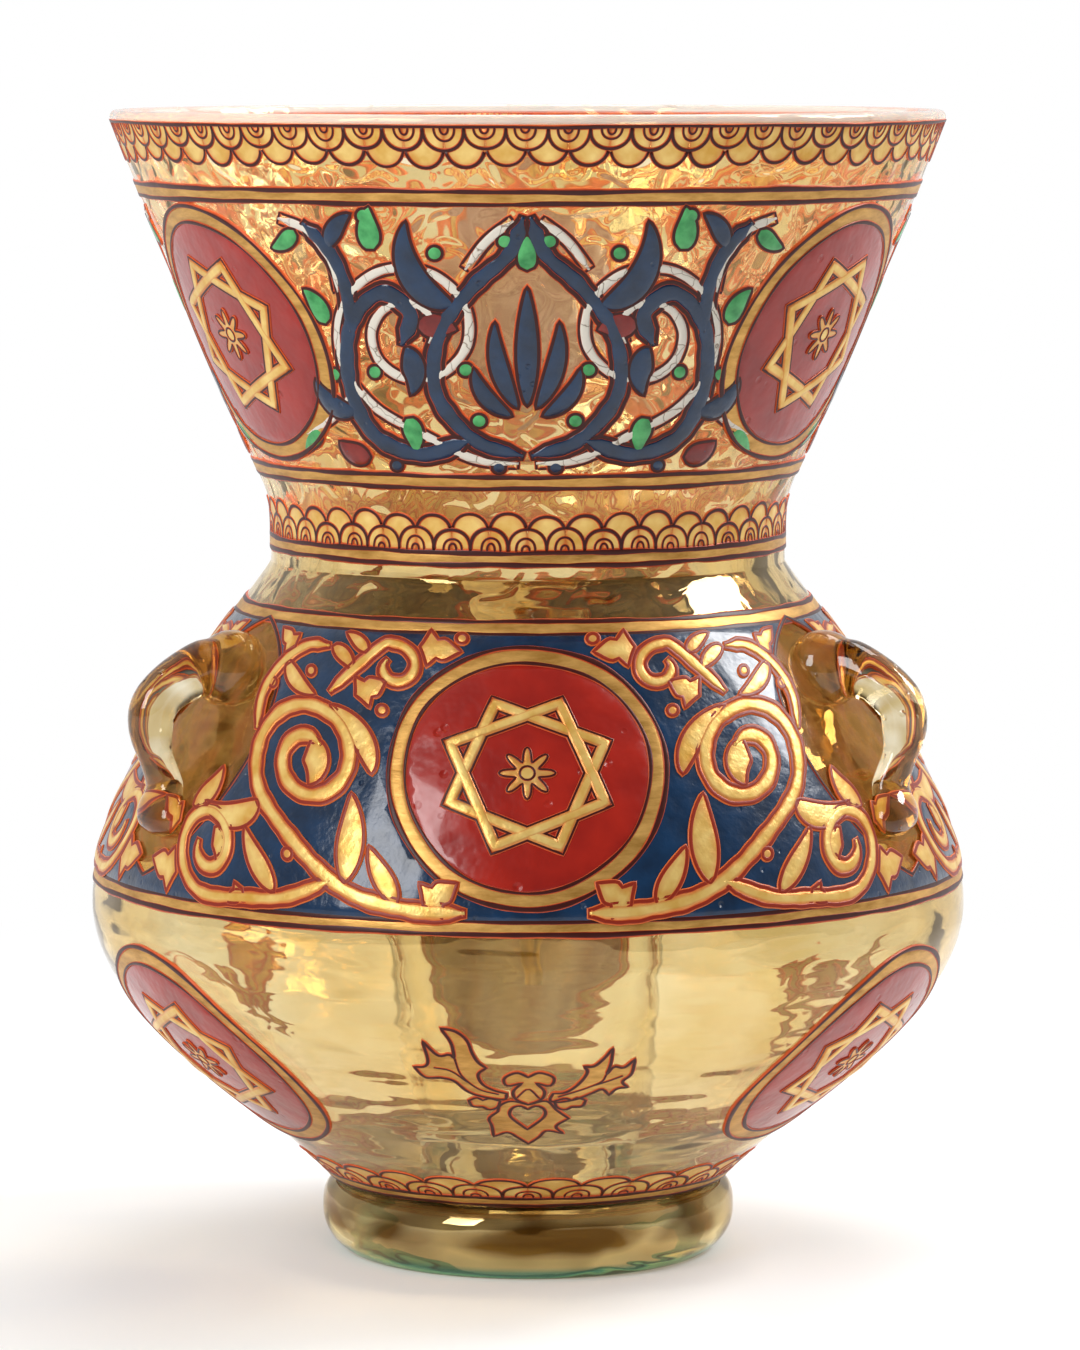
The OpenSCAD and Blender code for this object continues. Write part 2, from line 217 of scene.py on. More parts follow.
pebbly = add(tree, "TexNoise", {"Vector": place, "Scale": 1 / (8.5 * MM), "Detail": 0.3})
pebbles = add(tree, "MapRange", {"Value": pebbly, "From Min": 0.42, "From Max": 0.58},
              interpolation_type="SMOOTHSTEP")
watery = add(tree, "Math", {0: pebbles, 1: 0.13, 2: watery}, operation="MULTIPLY_ADD")
level = add(tree, "Mapping", {"Vector": place, "Scale": (0.5, 0.5, 1.8)})
turned = add(tree, "TexNoise", {"Vector": level, "Scale": 1 / (22 * MM), "Detail": 1.6})
on_neck = add(tree, "MapRange", {"Value": height, "From Min": 150 * MM, "From Max": 190 * MM})
ripple = add(tree, "Mix", {0: on_neck, 2: turned, 3: watery})
blown = add(tree, "Bump", {"Height": ripple, "Strength": 0.8, "Distance": 2.2 * MM})
lustre = add(tree, "Math", {0: film, 1: 0.11}, operation="MULTIPLY")
# Painted light: the top of the lip lets less light through and shows its near-white colour, standing in for
# the white it bends from behind.
painted_white_lip = add(tree, "MapRange",
            {"Value": height, "From Min": 272.6 * MM, "From Max": 273.4 * MM, "To Min": 1.0, "To Max": 0.45})
glass = add(tree, "BsdfPrincipled", {
    "Base Color": body_colour.outputs[2], "Normal": blown, "Roughness": 0.03, "Metallic": lustre,
    "IOR": 1.55, "Specular Tint": "#f0cf8c", "Transmission Weight": painted_white_lip})
clear_to_shadow(tree, glass, "#f0eae0")

kick = [(KICK_R * i / KICK_STEPS, KICK_H * (1 + math.cos(math.pi * i / KICK_STEPS)) / 2)
        for i in range(KICK_STEPS + 1)]
lip_centre = LIP - WALL / 2 * np.array([math.cos(NECK_LEAN), -math.sin(NECK_LEAN)])
lip_round = [lip_centre + WALL / 2 * np.array([math.cos(a), math.sin(a)])
             for a in np.linspace(-NECK_LEAN, math.pi - NECK_LEAN, 10)[1:-1]]
inside = [p for p in inner_wall[::-1] if p[1] > FLOOR_Z + 0.5]
floor_r = float(np.interp(FLOOR_Z, inner_wall[:, 1], inner_wall[:, 0]))
vessel_profile = (
    [(r, UNDERSIDE_Z + z) for r, z in kick] + list(outer_wall) + lip_round + inside
    + [(floor_r, FLOOR_Z)] + [(r, FLOOR_Z + z) for r, z in kick[::-1]]
)
first_inside = len(kick) + len(outer_wall) + len(lip_round)
last_inside = first_inside + len(inside)
VESSEL_SIDES = 192
WAVES_END_Z, WAVES_FADE = 270, 20


def blown_wave(i, z, turn):
    """Waves of the inner face, in mm, where the glass is thicker or thinner; none at the lip."""
    if not first_inside <= i < last_inside:
        return 0 * turn
    fade = min(1, max(0, (WAVES_END_Z - z) / WAVES_FADE))
    slow = 0.22 * np.sin(5 * turn + z / 17) + 0.16 * np.sin(9 * turn - z / 11 + 1.3)
    quick = 0.07 * np.sin(23 * turn + z / 6 + 0.7 * np.sin(3 * turn))
    ripples = 0.06 * np.sin(z / 3.1 + 2 * np.sin(4 * turn))
    return fade * (slow + (quick + ripples))


vessel = spin("vessel_glass", vessel_profile, VESSEL_SIDES, lustre_glass, blown_wave)
film_at = [float(len(kick) <= i < len(kick) + len(outer_wall)) for i, (r, z) in enumerate(vessel_profile)
           for _ in range(VESSEL_SIDES if r > 1e-6 else 1)]
vessel.data.attributes.new("film", "FLOAT", "POINT").data.foreach_set("value", film_at)
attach(vessel, "lamp")
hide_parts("vessel")

# Foot
# A ring of darker amber glass, blown by itself and set hot under the vessel. Its lower edge is
# thick enough to show the green of the glass.
FOOT_H = 17.0
FOOT_TOP_R, FOOT_BULGE_R, FOOT_BULGE_Z = 47.0, 49.9, 9.5
FOOT_REST_R, FOOT_REST_W, FOOT_WALL = 44.0, 6.0, 5.0
FOOT_SUNK, FOOT_BEVEL, FOOT_SIDES = 0.4, 0.6, 160
swell = FOOT_BULGE_R - FOOT_TOP_R
inner_bulge_r, inner_top_r = FOOT_BULGE_R - FOOT_WALL, FOOT_TOP_R - FOOT_WALL
upper_half = np.array([[FOOT_TOP_R, FOOT_H], [FOOT_TOP_R + swell, FOOT_H - swell / 2],
                       [FOOT_BULGE_R, FOOT_BULGE_Z + swell], [FOOT_BULGE_R, FOOT_BULGE_Z]])
lower_half = np.array([[FOOT_BULGE_R, FOOT_BULGE_Z], [FOOT_BULGE_R, FOOT_BULGE_Z / 2],
                       [(FOOT_BULGE_R + FOOT_REST_R) / 2, FOOT_BULGE_Z / 6], [FOOT_REST_R, 0]])
inner_face = np.array([[FOOT_REST_R - FOOT_REST_W, 0], [inner_bulge_r, FOOT_BULGE_Z / 4],
                       [inner_bulge_r, FOOT_BULGE_Z + swell], [inner_top_r, FOOT_H]])
foot_profile = np.concatenate([
    bezier(*upper_half, steps=12),
    bezier(*lower_half, steps=12),
    [[FOOT_REST_R, 0], [FOOT_REST_R - FOOT_REST_W / 2, 0]],
    bezier(*inner_face, steps=14),
    [[inner_top_r, FOOT_H + FOOT_SUNK], [FOOT_TOP_R - FOOT_BEVEL, FOOT_H + FOOT_SUNK]],
])

# Foot glass: the same amber, deeper because it is thick, and blue-green at the rest. It is painted brown
# above and lighter below: painted shade for the dark hollow under the vessel seen through it. Its streaks are
# turned so that their dark patches fall where that shade shows.
foot_glass, tree, place = start_material("amber foot glass")
height = add(tree, "SeparateXYZ", {"Vector": place}).outputs["Z"]
low_edge = add(tree, "MapRange", {"Value": height, "From Min": 3.6 * MM, "From Max": 2 * MM})
level = add(tree, "Mapping", {"Vector": place, "Scale": (0.6, 0.6, 1.5), "Rotation": (0, 0, -0.45)})
streaks = add(tree, "TexNoise", {"Vector": level, "Scale": 1 / (16 * MM), "Detail": 1.0, "Distortion": 0.8})
# Painted shade: darker above and lighter below, for the dark hollow under the vessel seen through the upper
# foot.
painted_shade_above = add(tree, "MapRange",
            {"Value": height, "From Min": 5.5 * MM, "From Max": 8.5 * MM, "To Min": 0.25, "To Max": -0.08})
depth = add(tree, "Math", {0: streaks, 1: painted_shade_above}, operation="ADD")
deep = add(tree, "ValToRGB", {"Fac": depth}, [(0.36, "#6b4814"), (0.68, "#f0dca2")])
foot_colour = add(tree, "Mix", {0: low_edge, 6: deep, 7: "#5aa899"}, data_type="RGBA")
tooled = add(tree, "Bump", {"Height": streaks, "Strength": 0.35, "Distance": 2 * MM})
lustred = add(tree, "MapRange",
              {"Value": height, "From Min": 5 * MM, "From Max": 9 * MM, "To Min": 0.06, "To Max": 0.3})
glass = add(tree, "BsdfPrincipled", {
    "Base Color": foot_colour.outputs[2], "Normal": tooled, "Roughness": 0.03,
    "Metallic": lustred, "IOR": 1.5, "Specular Tint": "#f0cf8c", "Transmission Weight": 1.0})
clear_to_shadow(tree, glass, "#c9a768")

foot = spin("foot_ring", foot_profile, FOOT_SIDES, foot_glass, closed=True)
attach(foot, "lamp")
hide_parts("foot")

# Handles
# Three trails of hot glass: each is a pad dropped on the shoulder, drawn out in a bow that makes
# an eye for a chain, pressed back on the wall and let down it as a flattened tail.
HANDLE_AT = {"left": -60, "right": 60, "back": 180}
PAD_Z, PAD_R, PAD_SUNK = 144.0, 9.6, 0.6
ARM_Z, ARM_R, ARM_OUT, ARM_FALL = 147.5, 6.8, 2.0, 3.0
BOW_Z, BOW_OUT, TRAIL_R = 133.5, 13.9, 4.9
PRESS_Z, PRESS_OUT = 118.5, 2.6
TAIL_Z, TAIL_OUT, TAIL_R = 107.0, 1.6, 7.4
ASIDE, TAIL_DRIFT = 3.5, 5.0
PRESS_THIN, PRESS_SPREAD, TAIL_THIN = 0.9, 0.7, 0.7
END_ROUND, TIP_SHARE = 0.25, 0.15
STEPS, SIDES = 16, 24
MELT_GRID, SOFTENED, SOFT_ROUNDS = 0.7, 0.5, 12
# Swellings of the trail: where on it (0 arm, 1 bow, 2 press, 3 tail), how long, and how much thicker.
LUMPS = [(0.95, 0.3, 0.13), (1.6, 0.25, -0.08), (2.5, 0.3, 0.26)]

# Handle glass: clear and smoky, thick enough to bend what is behind it, with a few small bubbles.
handle_glass, tree, place = start_material("smoky handle glass")
seeds = add(tree, "TexVoronoi", {"Vector": place, "Scale": 1 / (6 * MM), "Randomness": 1.0})
bubble = add(tree, "MapRange",
             {"Value": seeds, "From Min": 0.05, "From Max": 0.14, "To Min": 1.0, "To Max": 0.0})
drawn = add(tree, "TexNoise", {"Vector": place, "Scale": 1 / (9 * MM), "Detail": 1.0})
bumps = add(tree, "Math", {0: bubble, 1: drawn}, operation="ADD")
uneven = add(tree, "Bump", {"Height": bumps, "Strength": 0.35, "Distance": 1.4 * MM})
smoke = add(tree, "ValToRGB", {"Fac": drawn}, [(0.36, "#b99c5c"), (0.62, "#f6edd2")])
glass = add(tree, "BsdfPrincipled", {
    "Base Color": smoke, "Normal": uneven, "Roughness": 0.02, "IOR": 1.5, "Transmission Weight": 1.0})
clear_to_shadow(tree, glass, "#eadfbf")


def ease(a, b, t):
    return a + (b - a) * (3 - 2 * t) * t * t


def handle_rings():
    """Rings of the trail as (out from the axis, aside, up) in mm, before it is turned to its place."""
    arm = np.array([wall_r(ARM_Z) + ARM_OUT, ARM_Z])
    bow = np.array([wall_r(BOW_Z) + BOW_OUT, BOW_Z])
    press = np.array([wall_r(PRESS_Z) + PRESS_OUT, PRESS_Z])
    tail = np.array([wall_r(TAIL_Z) + TAIL_OUT, TAIL_Z])
    arm_reach, bow_drop = (bow[0] - arm[0]) / 2, (ARM_Z - BOW_Z) / 2
    press_drop, tail_drop = (BOW_Z - PRESS_Z) / 2, (PRESS_Z - TAIL_Z) / 3
    line = np.concatenate([
        bezier(arm, arm + [arm_reach, -ARM_FALL], bow + bow_drop * UP, bow, STEPS),
        bezier(bow, bow - press_drop * UP, press + [press_drop / 4, press_drop], press, STEPS),
        bezier(press, press - tail_drop * UP, tail + [-tail_drop / 2, tail_drop], tail, STEPS),
        [tail],
    ])
    thick = [(ARM_R, ARM_R), (TRAIL_R, TRAIL_R), (TRAIL_R - PRESS_THIN, TRAIL_R + PRESS_SPREAD),
             (TRAIL_R - TAIL_THIN, TAIL_R)]
    rings = []
    for i, (point, side) in enumerate(zip(line, outward(line))):
        s = i / STEPS
        stage = min(int(s), 2)
        half = ease(np.array(thick[stage]), np.array(thick[stage + 1]), s - stage)
        end = min(s, 3 - s) / END_ROUND
        half = half * (1 if end >= 1 else max(math.sqrt(1 - (1 - end) ** 2), TIP_SHARE))
        half = half * (1 + sum(more * math.exp(-((s - at) / reach) ** 2) for at, reach, more in LUMPS))
        aside = (ease(0, TAIL_DRIFT, (s - 1) / 2) if s > 1 else 0) - ASIDE
        turn = np.arange(SIDES) * 2 * math.pi / SIDES
        out = point + np.outer(half[0] * np.cos(turn), side)
        rings.append(np.stack([out[:, 0], aside + half[1] * np.sin(turn), out[:, 1]], axis=1))
    return rings


def make_handle(side, azimuth, turned_over):
    """One gather: trail and pad are melted together on a fine grid and smoothed."""
    work = bmesh.new()
    rings = [[work.verts.new(p) for p in ring] for ring in handle_rings()]
    for low, high in zip(rings, rings[1:]):
        for k in range(SIDES):
            n = (k + 1) % SIDES
            work.faces.new((low[k], low[n], high[n], high[k]))
    work.faces.new(rings[0])
    work.faces.new(rings[-1])
    pad = bmesh.ops.create_icosphere(work, subdivisions=4, radius=PAD_R)["verts"]
    bmesh.ops.translate(work, verts=pad, vec=(wall_r(PAD_Z) - PAD_SUNK, -ASIDE, PAD_Z))
    turn = math.radians(azimuth - 90)
    for v in work.verts:
        out, aside, up = v.co
        aside = -aside if turned_over else aside
        v.co = (MM * (out * math.cos(turn) - aside * math.sin(turn)),
                MM * (out * math.sin(turn) + aside * math.cos(turn)), MM * up)
    bmesh.ops.recalc_face_normals(work, faces=work.faces)
    mesh = bpy.data.meshes.new("gather")
    work.to_mesh(mesh)
    work.free()
    rough = bpy.data.objects.new("gather", mesh)
    scene.collection.objects.link(rough)
    melt = rough.modifiers.new("melt", "REMESH")
    melt.mode = "VOXEL"
    melt.voxel_size = MELT_GRID * MM
    soften = rough.modifiers.new("soften", "SMOOTH")
    soften.factor, soften.iterations = SOFTENED, SOFT_ROUNDS
    melted = bpy.data.meshes.new_from_object(rough.evaluated_get(bpy.context.evaluated_depsgraph_get()))
    bpy.data.objects.remove(rough)
    piece = smooth_piece("handle_glass_" + side, melted, handle_glass)
    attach(piece, "lamp")
    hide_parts("handle_" + side)


for side, azimuth in HANDLE_AT.items():
    make_handle(side, azimuth, side == "right")

# Gilded fillets
# Flat bands of fired gold leaf round the lamp, between two hand-drawn lines of iron-red enamel.
# They are brushed on, so their edges waver and the gold is streaky along the band.
SUNK, LINE_SUNK = 0.08, 0.16
# Section of a brush stroke: how far aside, how high (none is sunk), and how near its edge.
RIBBON_SECTION = [(-1, None, 1), (-1, 0.35, 1), (-0.7, 0.85, 0.75), (-0.4, 1, 0),
                  (0.4, 1, 0), (0.7, 0.85, 0.75), (1, 0.35, 1), (1, None, 1)]
# Lift and nearness to the edge of a pool of enamel: at its outline, at the rim inside that, and further in.
POOL_LIFT, POOL_EDGE = (0.4, 0.9, 1.0), (1.0, 0.45, 0.0)
RIM_INSET, RIM_GAP, GRID_GAP, ROW_SHARE = 0.45, 0.3, 0.9, 0.866


class Drawing:
    """Raised shapes on a flat wall, in mm: x to the right, y up the wall, then the lift off it. They are sunk
    in the glass a little, the drawn lines more than the rest, so that the lines show from behind."""

    def __init__(self, sunk=SUNK):
        self.points, self.faces, self.edge, self.under = [], [], [], []
        self.sunk = sunk

    def ribbon(self, path, width, rise, floor=0.0, closed=False, level=False):
        """A brush stroke with rounded edges; a level one goes all round the lamp."""
        path = np.asarray(path, float)
        ahead = np.roll(path, -1, 0) - np.roll(path, 1, 0) if closed else np.gradient(path, axis=0)
        ahead = np.tile([1.0, 0.0], (len(path), 1)) if level else ahead
        first, size = len(self.points), len(RIBBON_SECTION)
        for p, n, w in zip(path, -beside(ahead), np.broadcast_to(width, len(path))):
            for side, lift, edge in RIBBON_SECTION:
                x, y = p + n * side * w / 2
                self.points.append((x, y, floor - self.sunk if lift is None else floor + lift * rise))
                self.edge.append(edge)
                self.under.append(1.0 if lift is None else 0.0)
        for i in range(len(path) if closed else len(path) - 1):
            a, b = first + i * size, first + (i + 1) % len(path) * size
            self.faces += [(a + k, a + (k + 1) % size, b + (k + 1) % size, b + k) for k in range(size)]
        if not closed:
            self.faces += [tuple(range(first, first + size)),
                           tuple(range(len(self.points) - size, len(self.points)))]

    def field(self, outline, rise, floor=0.0, holes=(), grid=2.5, seam=None):
        """A pool of enamel or gold with rounded edges; a seam is an x where two ends of a band meet."""
        loops = [np.asarray(l, float) for l in (outline, *holes)]
        start = np.concatenate(loops)
        end = np.concatenate([np.roll(l, -1, 0) for l in loops])

        def off_edge(p):
            d = end - start
            t = np.clip(((p[:, None] - start) * d).sum(2) / ((d * d).sum(1) + 1e-12), 0, 1)
            return np.sqrt((((start + t[..., None] * d) - p[:, None]) ** 2).sum(2).min(1))

        def within(p):
            y1, y2 = start[:, 1], end[:, 1]
            crosses = (y1 > p[:, None, 1]) != (y2 > p[:, None, 1])
            x = start[:, 0] + (p[:, None, 1] - y1) / (y2 - y1 + 1e-12) * (end[:, 0] - start[:, 0])
            return (crosses & (x > p[:, None, 0])).sum(1) % 2 == 1

        ahead = np.concatenate([np.roll(l, -1, 0) - np.roll(l, 1, 0) for l in loops])
        aside = -RIM_INSET * beside(ahead)
        rim = np.concatenate([start + aside, start - aside])
        low, high = start.min(0), start.max(0)
        xs, ys = np.arange(low[0], high[0], grid), np.arange(low[1], high[1], grid * ROW_SHARE)
        mesh = np.array([(x + (j % 2) * grid / 2, y) for j, y in enumerate(ys) for x in xs])

        def kept(p, gap):
            parts = [q[within(q) & (off_edge(q) > gap)] for q in np.array_split(p, len(p) // 400 + 1)]
            return np.concatenate(parts)

        rim, mesh = kept(rim, RIM_GAP), kept(mesh, GRID_GAP)
        flat = np.concatenate([start, rim, mesh])
        at, rings = 0, []
        for l in loops:
            rings.append(list(range(at, at + len(l))))
            at += len(l)
        found = delaunay_2d_cdt([Vector(p) for p in flat], [], rings, 2, 1e-5)
        firsts = [min(o, default=0) for o in found[3]]
        kind = [0 if o < len(start) else 1 if o < len(start) + len(rim) else 2 for o in firsts]
        used = sorted({k for f in found[2] for k in f})
        first, place = len(self.points), {}
        for k in used:
            x, y = found[0][k]
            joined = seam is not None and abs(abs(x) - seam) < 1e-4
            place[k] = len(self.points)
            lift = rise if joined else POOL_LIFT[kind[k]] * rise
            self.points.append((x, y, floor + lift))
            self.edge.append(0.0 if joined else POOL_EDGE[kind[k]])
            self.under.append(0.0)
        below = len(self.points) - first
        for k in used:
            x, y = found[0][k]
            self.points.append((x, y, floor - self.sunk))
            self.edge.append(1.0)
            self.under.append(1.0)
        sides = {}
        for f in found[2]:
            a, b, c = (place[k] for k in f)
            self.faces += [(a, b, c), (c + below, b + below, a + below)]
            for u, v in ((a, b), (b, c), (c, a)):
                sides[(u, v)] = True
        for u, v in sides:
            at_seam = seam is not None and all(abs(abs(self.points[k][0]) - seam) < 1e-4 for k in (u, v))
            if (v, u) not in sides and not at_seam:
                self.faces.append((v, u, u + below, v + below))


# What lays a flat drawing on the wall: y runs up the wall's own outline, x runs round it, and the
# lift goes along its normal. Copies are then spread evenly round the lamp.
wall_curve = bpy.data.curves.new("wall outline", "CURVE")
wall_curve.dimensions = "3D"
line = wall_curve.splines.new("POLY")
line.points.add(len(outer_wall) - 1)
for point, (r, z) in zip(line.points, outer_wall):
    point.co = (r * MM, 0, z * MM, 1)
wall_outline = bpy.data.objects.new("wall outline", wall_curve)
scene.collection.objects.link(wall_outline)

lay_on_wall = tree = bpy.data.node_groups.new("lay on wall", "GeometryNodeTree")
for name, kind in (("Geometry", "Geometry"), ("Outline", "Object"), ("Azimuth", "Float"), ("Height", "Float"),
                   ("Turn Radius", "Float"), ("Copies", "Int"), ("Material", "Material")):
    tree.interface.new_socket(name, in_out="INPUT", socket_type="NodeSocket" + kind)
tree.interface.new_socket("Geometry", in_out="OUTPUT", socket_type="NodeSocketGeometry")
given = add(tree, "NodeGroupInput").outputs
flat = add(tree, "SeparateXYZ", {0: add(tree, "GeometryNodeInputPosition")}).outputs
up_wall = add(tree, "Math", {0: flat["Y"], 1: given["Height"]}, operation="ADD")
curve = add(tree, "GeometryNodeObjectInfo", {"Object": given["Outline"]}).outputs["Geometry"]
spot = add(tree, "GeometryNodeSampleCurve", {"Curves": curve, "Length": up_wall}, mode="LENGTH").outputs
foot_of = add(tree, "SeparateXYZ", {0: spot["Position"]}).outputs
climb = add(tree, "SeparateXYZ", {0: spot["Tangent"]}).outputs
out = add(tree, "Math", {0: climb["Z"], 1: flat["Z"], 2: foot_of["X"]}, operation="MULTIPLY_ADD")
drop = add(tree, "Math", {0: climb["X"], 1: flat["Z"]}, operation="MULTIPLY")
up = add(tree, "Math", {0: foot_of["Z"], 1: drop}, operation="SUBTRACT")
turn_r = add(tree, "GeometryNodeSwitch", {
    "Switch": given["Turn Radius"], "False": foot_of["X"], "True": given["Turn Radius"]}, input_type="FLOAT")
turn = add(tree, "Math", {0: flat["X"], 1: turn_r}, operation="DIVIDE")
turn = add(tree, "Math", {0: turn, 1: given["Azimuth"]}, operation="ADD")
sine = add(tree, "Math", {0: turn}, operation="SINE")
cosine = add(tree, "Math", {0: turn}, operation="COSINE")
right = add(tree, "Math", {0: out, 1: sine}, operation="MULTIPLY")
back = add(tree, "Math", {0: out, 1: cosine}, operation="MULTIPLY")
ahead = add(tree, "Math", {0: back, 1: -1.0}, operation="MULTIPLY")
on_wall = add(tree, "CombineXYZ", {0: right, 1: ahead, 2: up})
laid = add(tree, "GeometryNodeSetPosition", {"Geometry": given["Geometry"], "Position": on_wall})
stops = add(tree, "GeometryNodeMeshLine", {"Count": given["Copies"], "Offset": (0, 0, 0)})
share = add(tree, "Math", {0: 2 * math.pi, 1: given["Copies"]}, operation="DIVIDE")
share = add(tree, "Math", {0: add(tree, "GeometryNodeInputIndex"), 1: share}, operation="MULTIPLY")
round_z = add(tree, "CombineXYZ", {2: share})
copies = add(tree, "GeometryNodeInstanceOnPoints", {"Points": stops, "Instance": laid, "Rotation": round_z})
real = add(tree, "GeometryNodeRealizeInstances", {"Geometry": copies})
joined = add(tree, "GeometryNodeMergeByDistance", {"Geometry": real, "Distance": 1e-7})
finished = add(tree, "GeometryNodeSetMaterial", {"Geometry": joined, "Material": given["Material"]})
add(tree, "NodeGroupOutput", {0: finished})


def lay(name, drawing, material, z, azimuth=0, copies=1, turn_radius=0, replaces=()):
    """Lays a drawing on the lamp at a height and azimuth, as a piece of its own that rides with the lamp."""
    mesh = bpy.data.meshes.new(name)
    mesh.from_pydata([(x * MM, y * MM, l * MM) for x, y, l in drawing.points], [], drawing.faces)
    for label, values in (("edge", drawing.edge), ("under", drawing.under)):
        mesh.attributes.new(label, "FLOAT", "POINT").data.foreach_set("value", values)
    flat_piece = bpy.data.objects.new(name, mesh)
    scene.collection.objects.link(flat_piece)
    modifier = flat_piece.modifiers.new("lay", "NODES")
    modifier.node_group = lay_on_wall
    values = {"Outline": wall_outline, "Azimuth": math.radians(azimuth), "Height": along_wall(z) * MM,
              "Turn Radius": turn_radius * MM, "Copies": copies, "Material": material}
    for item in lay_on_wall.interface.items_tree:
        if item.in_out == "INPUT" and item.name in values:
            modifier[item.identifier] = values[item.name]
    graph = bpy.context.evaluated_depsgraph_get()
    result = bpy.data.meshes.new_from_object(
        flat_piece.evaluated_get(graph), preserve_all_data_layers=True, depsgraph=graph)
    bpy.data.objects.remove(flat_piece)
    piece = smooth_piece(name, result, material)
    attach(piece, "lamp")
    if replaces:
        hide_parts(*replaces)


def finish_enamel(tree, shade, under, height, depth, roughness, metallic=0.0, coat=0.0):
    """Ends an enamel or gilding material: its own colour on top, and where it lies on the glass two paler
    ones, in patches of about 5 mm. These paler colours are painted light: they stand in for the light that
    reaches the back of the enamel through the glass. Depth is in mm."""
    place = add(tree, "TexCoord").outputs["Object"]
    patches = add(tree, "TexNoise", {"Vector": place, "Scale": 1 / (5 * MM), "Detail": 2.0})
    # Painted light: the underside colours are paler than the enamel itself, to make up for the light that
    # hardly reaches its back through the glass.
    painted_light_under = add(tree, "ValToRGB", {"Fac": patches}, zip((0.34, 0.66), under))
    below = add(tree, "Attribute", attribute_name="under")
    both = add(tree, "Mix", {0: below.outputs["Fac"], 6: shade, 7: painted_light_under}, data_type="RGBA")
    rough = add(tree, "Bump", {"Height": height, "Strength": 0.6, "Distance": depth * MM})
    face = add(tree, "BsdfPrincipled", {
        "Base Color": both.outputs[2], "Roughness": roughness, "Metallic": metallic, "Coat Weight": coat,
        "Coat Roughness": 0.06, "Specular IOR Level": 0.3, "Normal": rough})
    add(tree, "OutputMaterial", {"Surface": face})


# Fired gilding: brushed gold leaf, satin and streaky, olive in its thick places and worn paler at edges.
gilding, tree, place = start_material("fired gilding")
long_streaks = add(tree, "Mapping", {"Vector": place, "Scale": (1, 1, 4)})
streak = add(tree, "TexNoise",
             {"Vector": long_streaks, "Scale": 1 / (9 * MM), "Detail": 4.0, "Roughness": 0.65})
gold = add(tree, "ValToRGB", {"Fac": streak}, [(0.3, "#a97a34"), (0.72, "#e2b062")])
finish_enamel(tree, gold, ("#d9a654", "#f0c97c"), streak, depth=0.3, roughness=0.4, metallic=0.5)

# Iron-red line: thin enamel drawn with a reed pen, nearly black in the middle of the stroke and
# orange-red where it thins out at its edges.
def line_enamel(name, core, middle, fringe):
    """A drawn line: its colours in the middle of the stroke, beside it and at its edges."""
    material, tree, place = start_material(name)
    stroke = add(tree, "Attribute", attribute_name="edge")
    pen = add(tree, "TexNoise", {"Vector": place, "Scale": 1 / (4 * MM), "Detail": 2.0})
    flow = add(tree, "Math", {0: pen, 1: 0.5, 2: -0.25}, operation="MULTIPLY_ADD")
    flow = add(tree, "Math", {0: stroke.outputs["Fac"], 1: flow}, operation="ADD")
    shades = add(tree, "ValToRGB", {"Fac": flow}, [(0.3, core), (0.9, fringe), (0.55, middle)])
    finish_enamel(tree, shades, ("#d4521e", "#ee7c3c"), pen, depth=0.2, roughness=0.38)
    return material


red_line = line_enamel("iron-red line enamel", "#3d0e08", "#8f2410", "#d85c28")

FILLETS = {"lip": (255.0, 2.8), "neck": (189.0, 2.8), "waist": (171.0, 2.8), "shoulder": (155.6, 2.8),
           "belly": (91.4, 2.8), "foot": (18.8, 1.9)}
GILT_T, LINE_W, LINE_T = 0.3, 1.6, 0.34


def round_path(r, y, seed, waver=0.22, step=3.0):
    """A hand-drawn line all round the lamp, as (x, y) at a radius, and its wavering width."""
    count = int(2 * math.pi * r / step)
    turn = np.arange(count) * 2 * math.pi / count
    bend = np.sin(7 * turn + seed) + 0.6 * np.sin(17 * turn + 2 * seed) + 0.4 * np.sin(31 * turn + 3.1 * seed)
    press = np.sin(11 * turn + 1.7 * seed) + 0.7 * np.sin(23 * turn + seed) + 0.5 * np.sin(47 * turn - seed)
    return np.stack([turn * r, y + waver * bend / 2], axis=1), 1 + 0.16 * press


for seed, (name, (z, tall)) in enumerate(FILLETS.items()):
    band_up = along_wall(z + tall) - along_wall(z)
    r = wall_r(z)
    band = Drawing()
    path, _ = round_path(r, band_up / 2, seed + 9, 0.05)
    band.ribbon(path, band_up, GILT_T, closed=True, level=True)
    lay(name + "_fillet_gilding", band, gilding, z, turn_radius=r,
        replaces=[name + "_fillet"])
    lines = Drawing(LINE_SUNK)
    for y, shift in ((0, 0.0), (band_up, 4.2)):
        path, press = round_path(r, y, seed + shift)
        lines.ribbon(path, LINE_W * press, LINE_T, closed=True, level=True)
    lay(name + "_fillet_lines", lines, red_line, z, turn_radius=r)

# Scale bands
# Two rows of overlapping scales under the lip, above the waist and above the foot: gold painted on
# the glass, each scale and its eye drawn round in iron-red.
SCALE_GOLD_T, SCALE_LINE_W, SCALE_LINE_T, EDGE_LINE_T = 0.12, 1.1, 0.3, 0.32
EYE_LINE_W, EYE_LINE_T = 0.75, 0.28
ARCH_POWER, ROW_OVERLAP = 0.75, 0.55


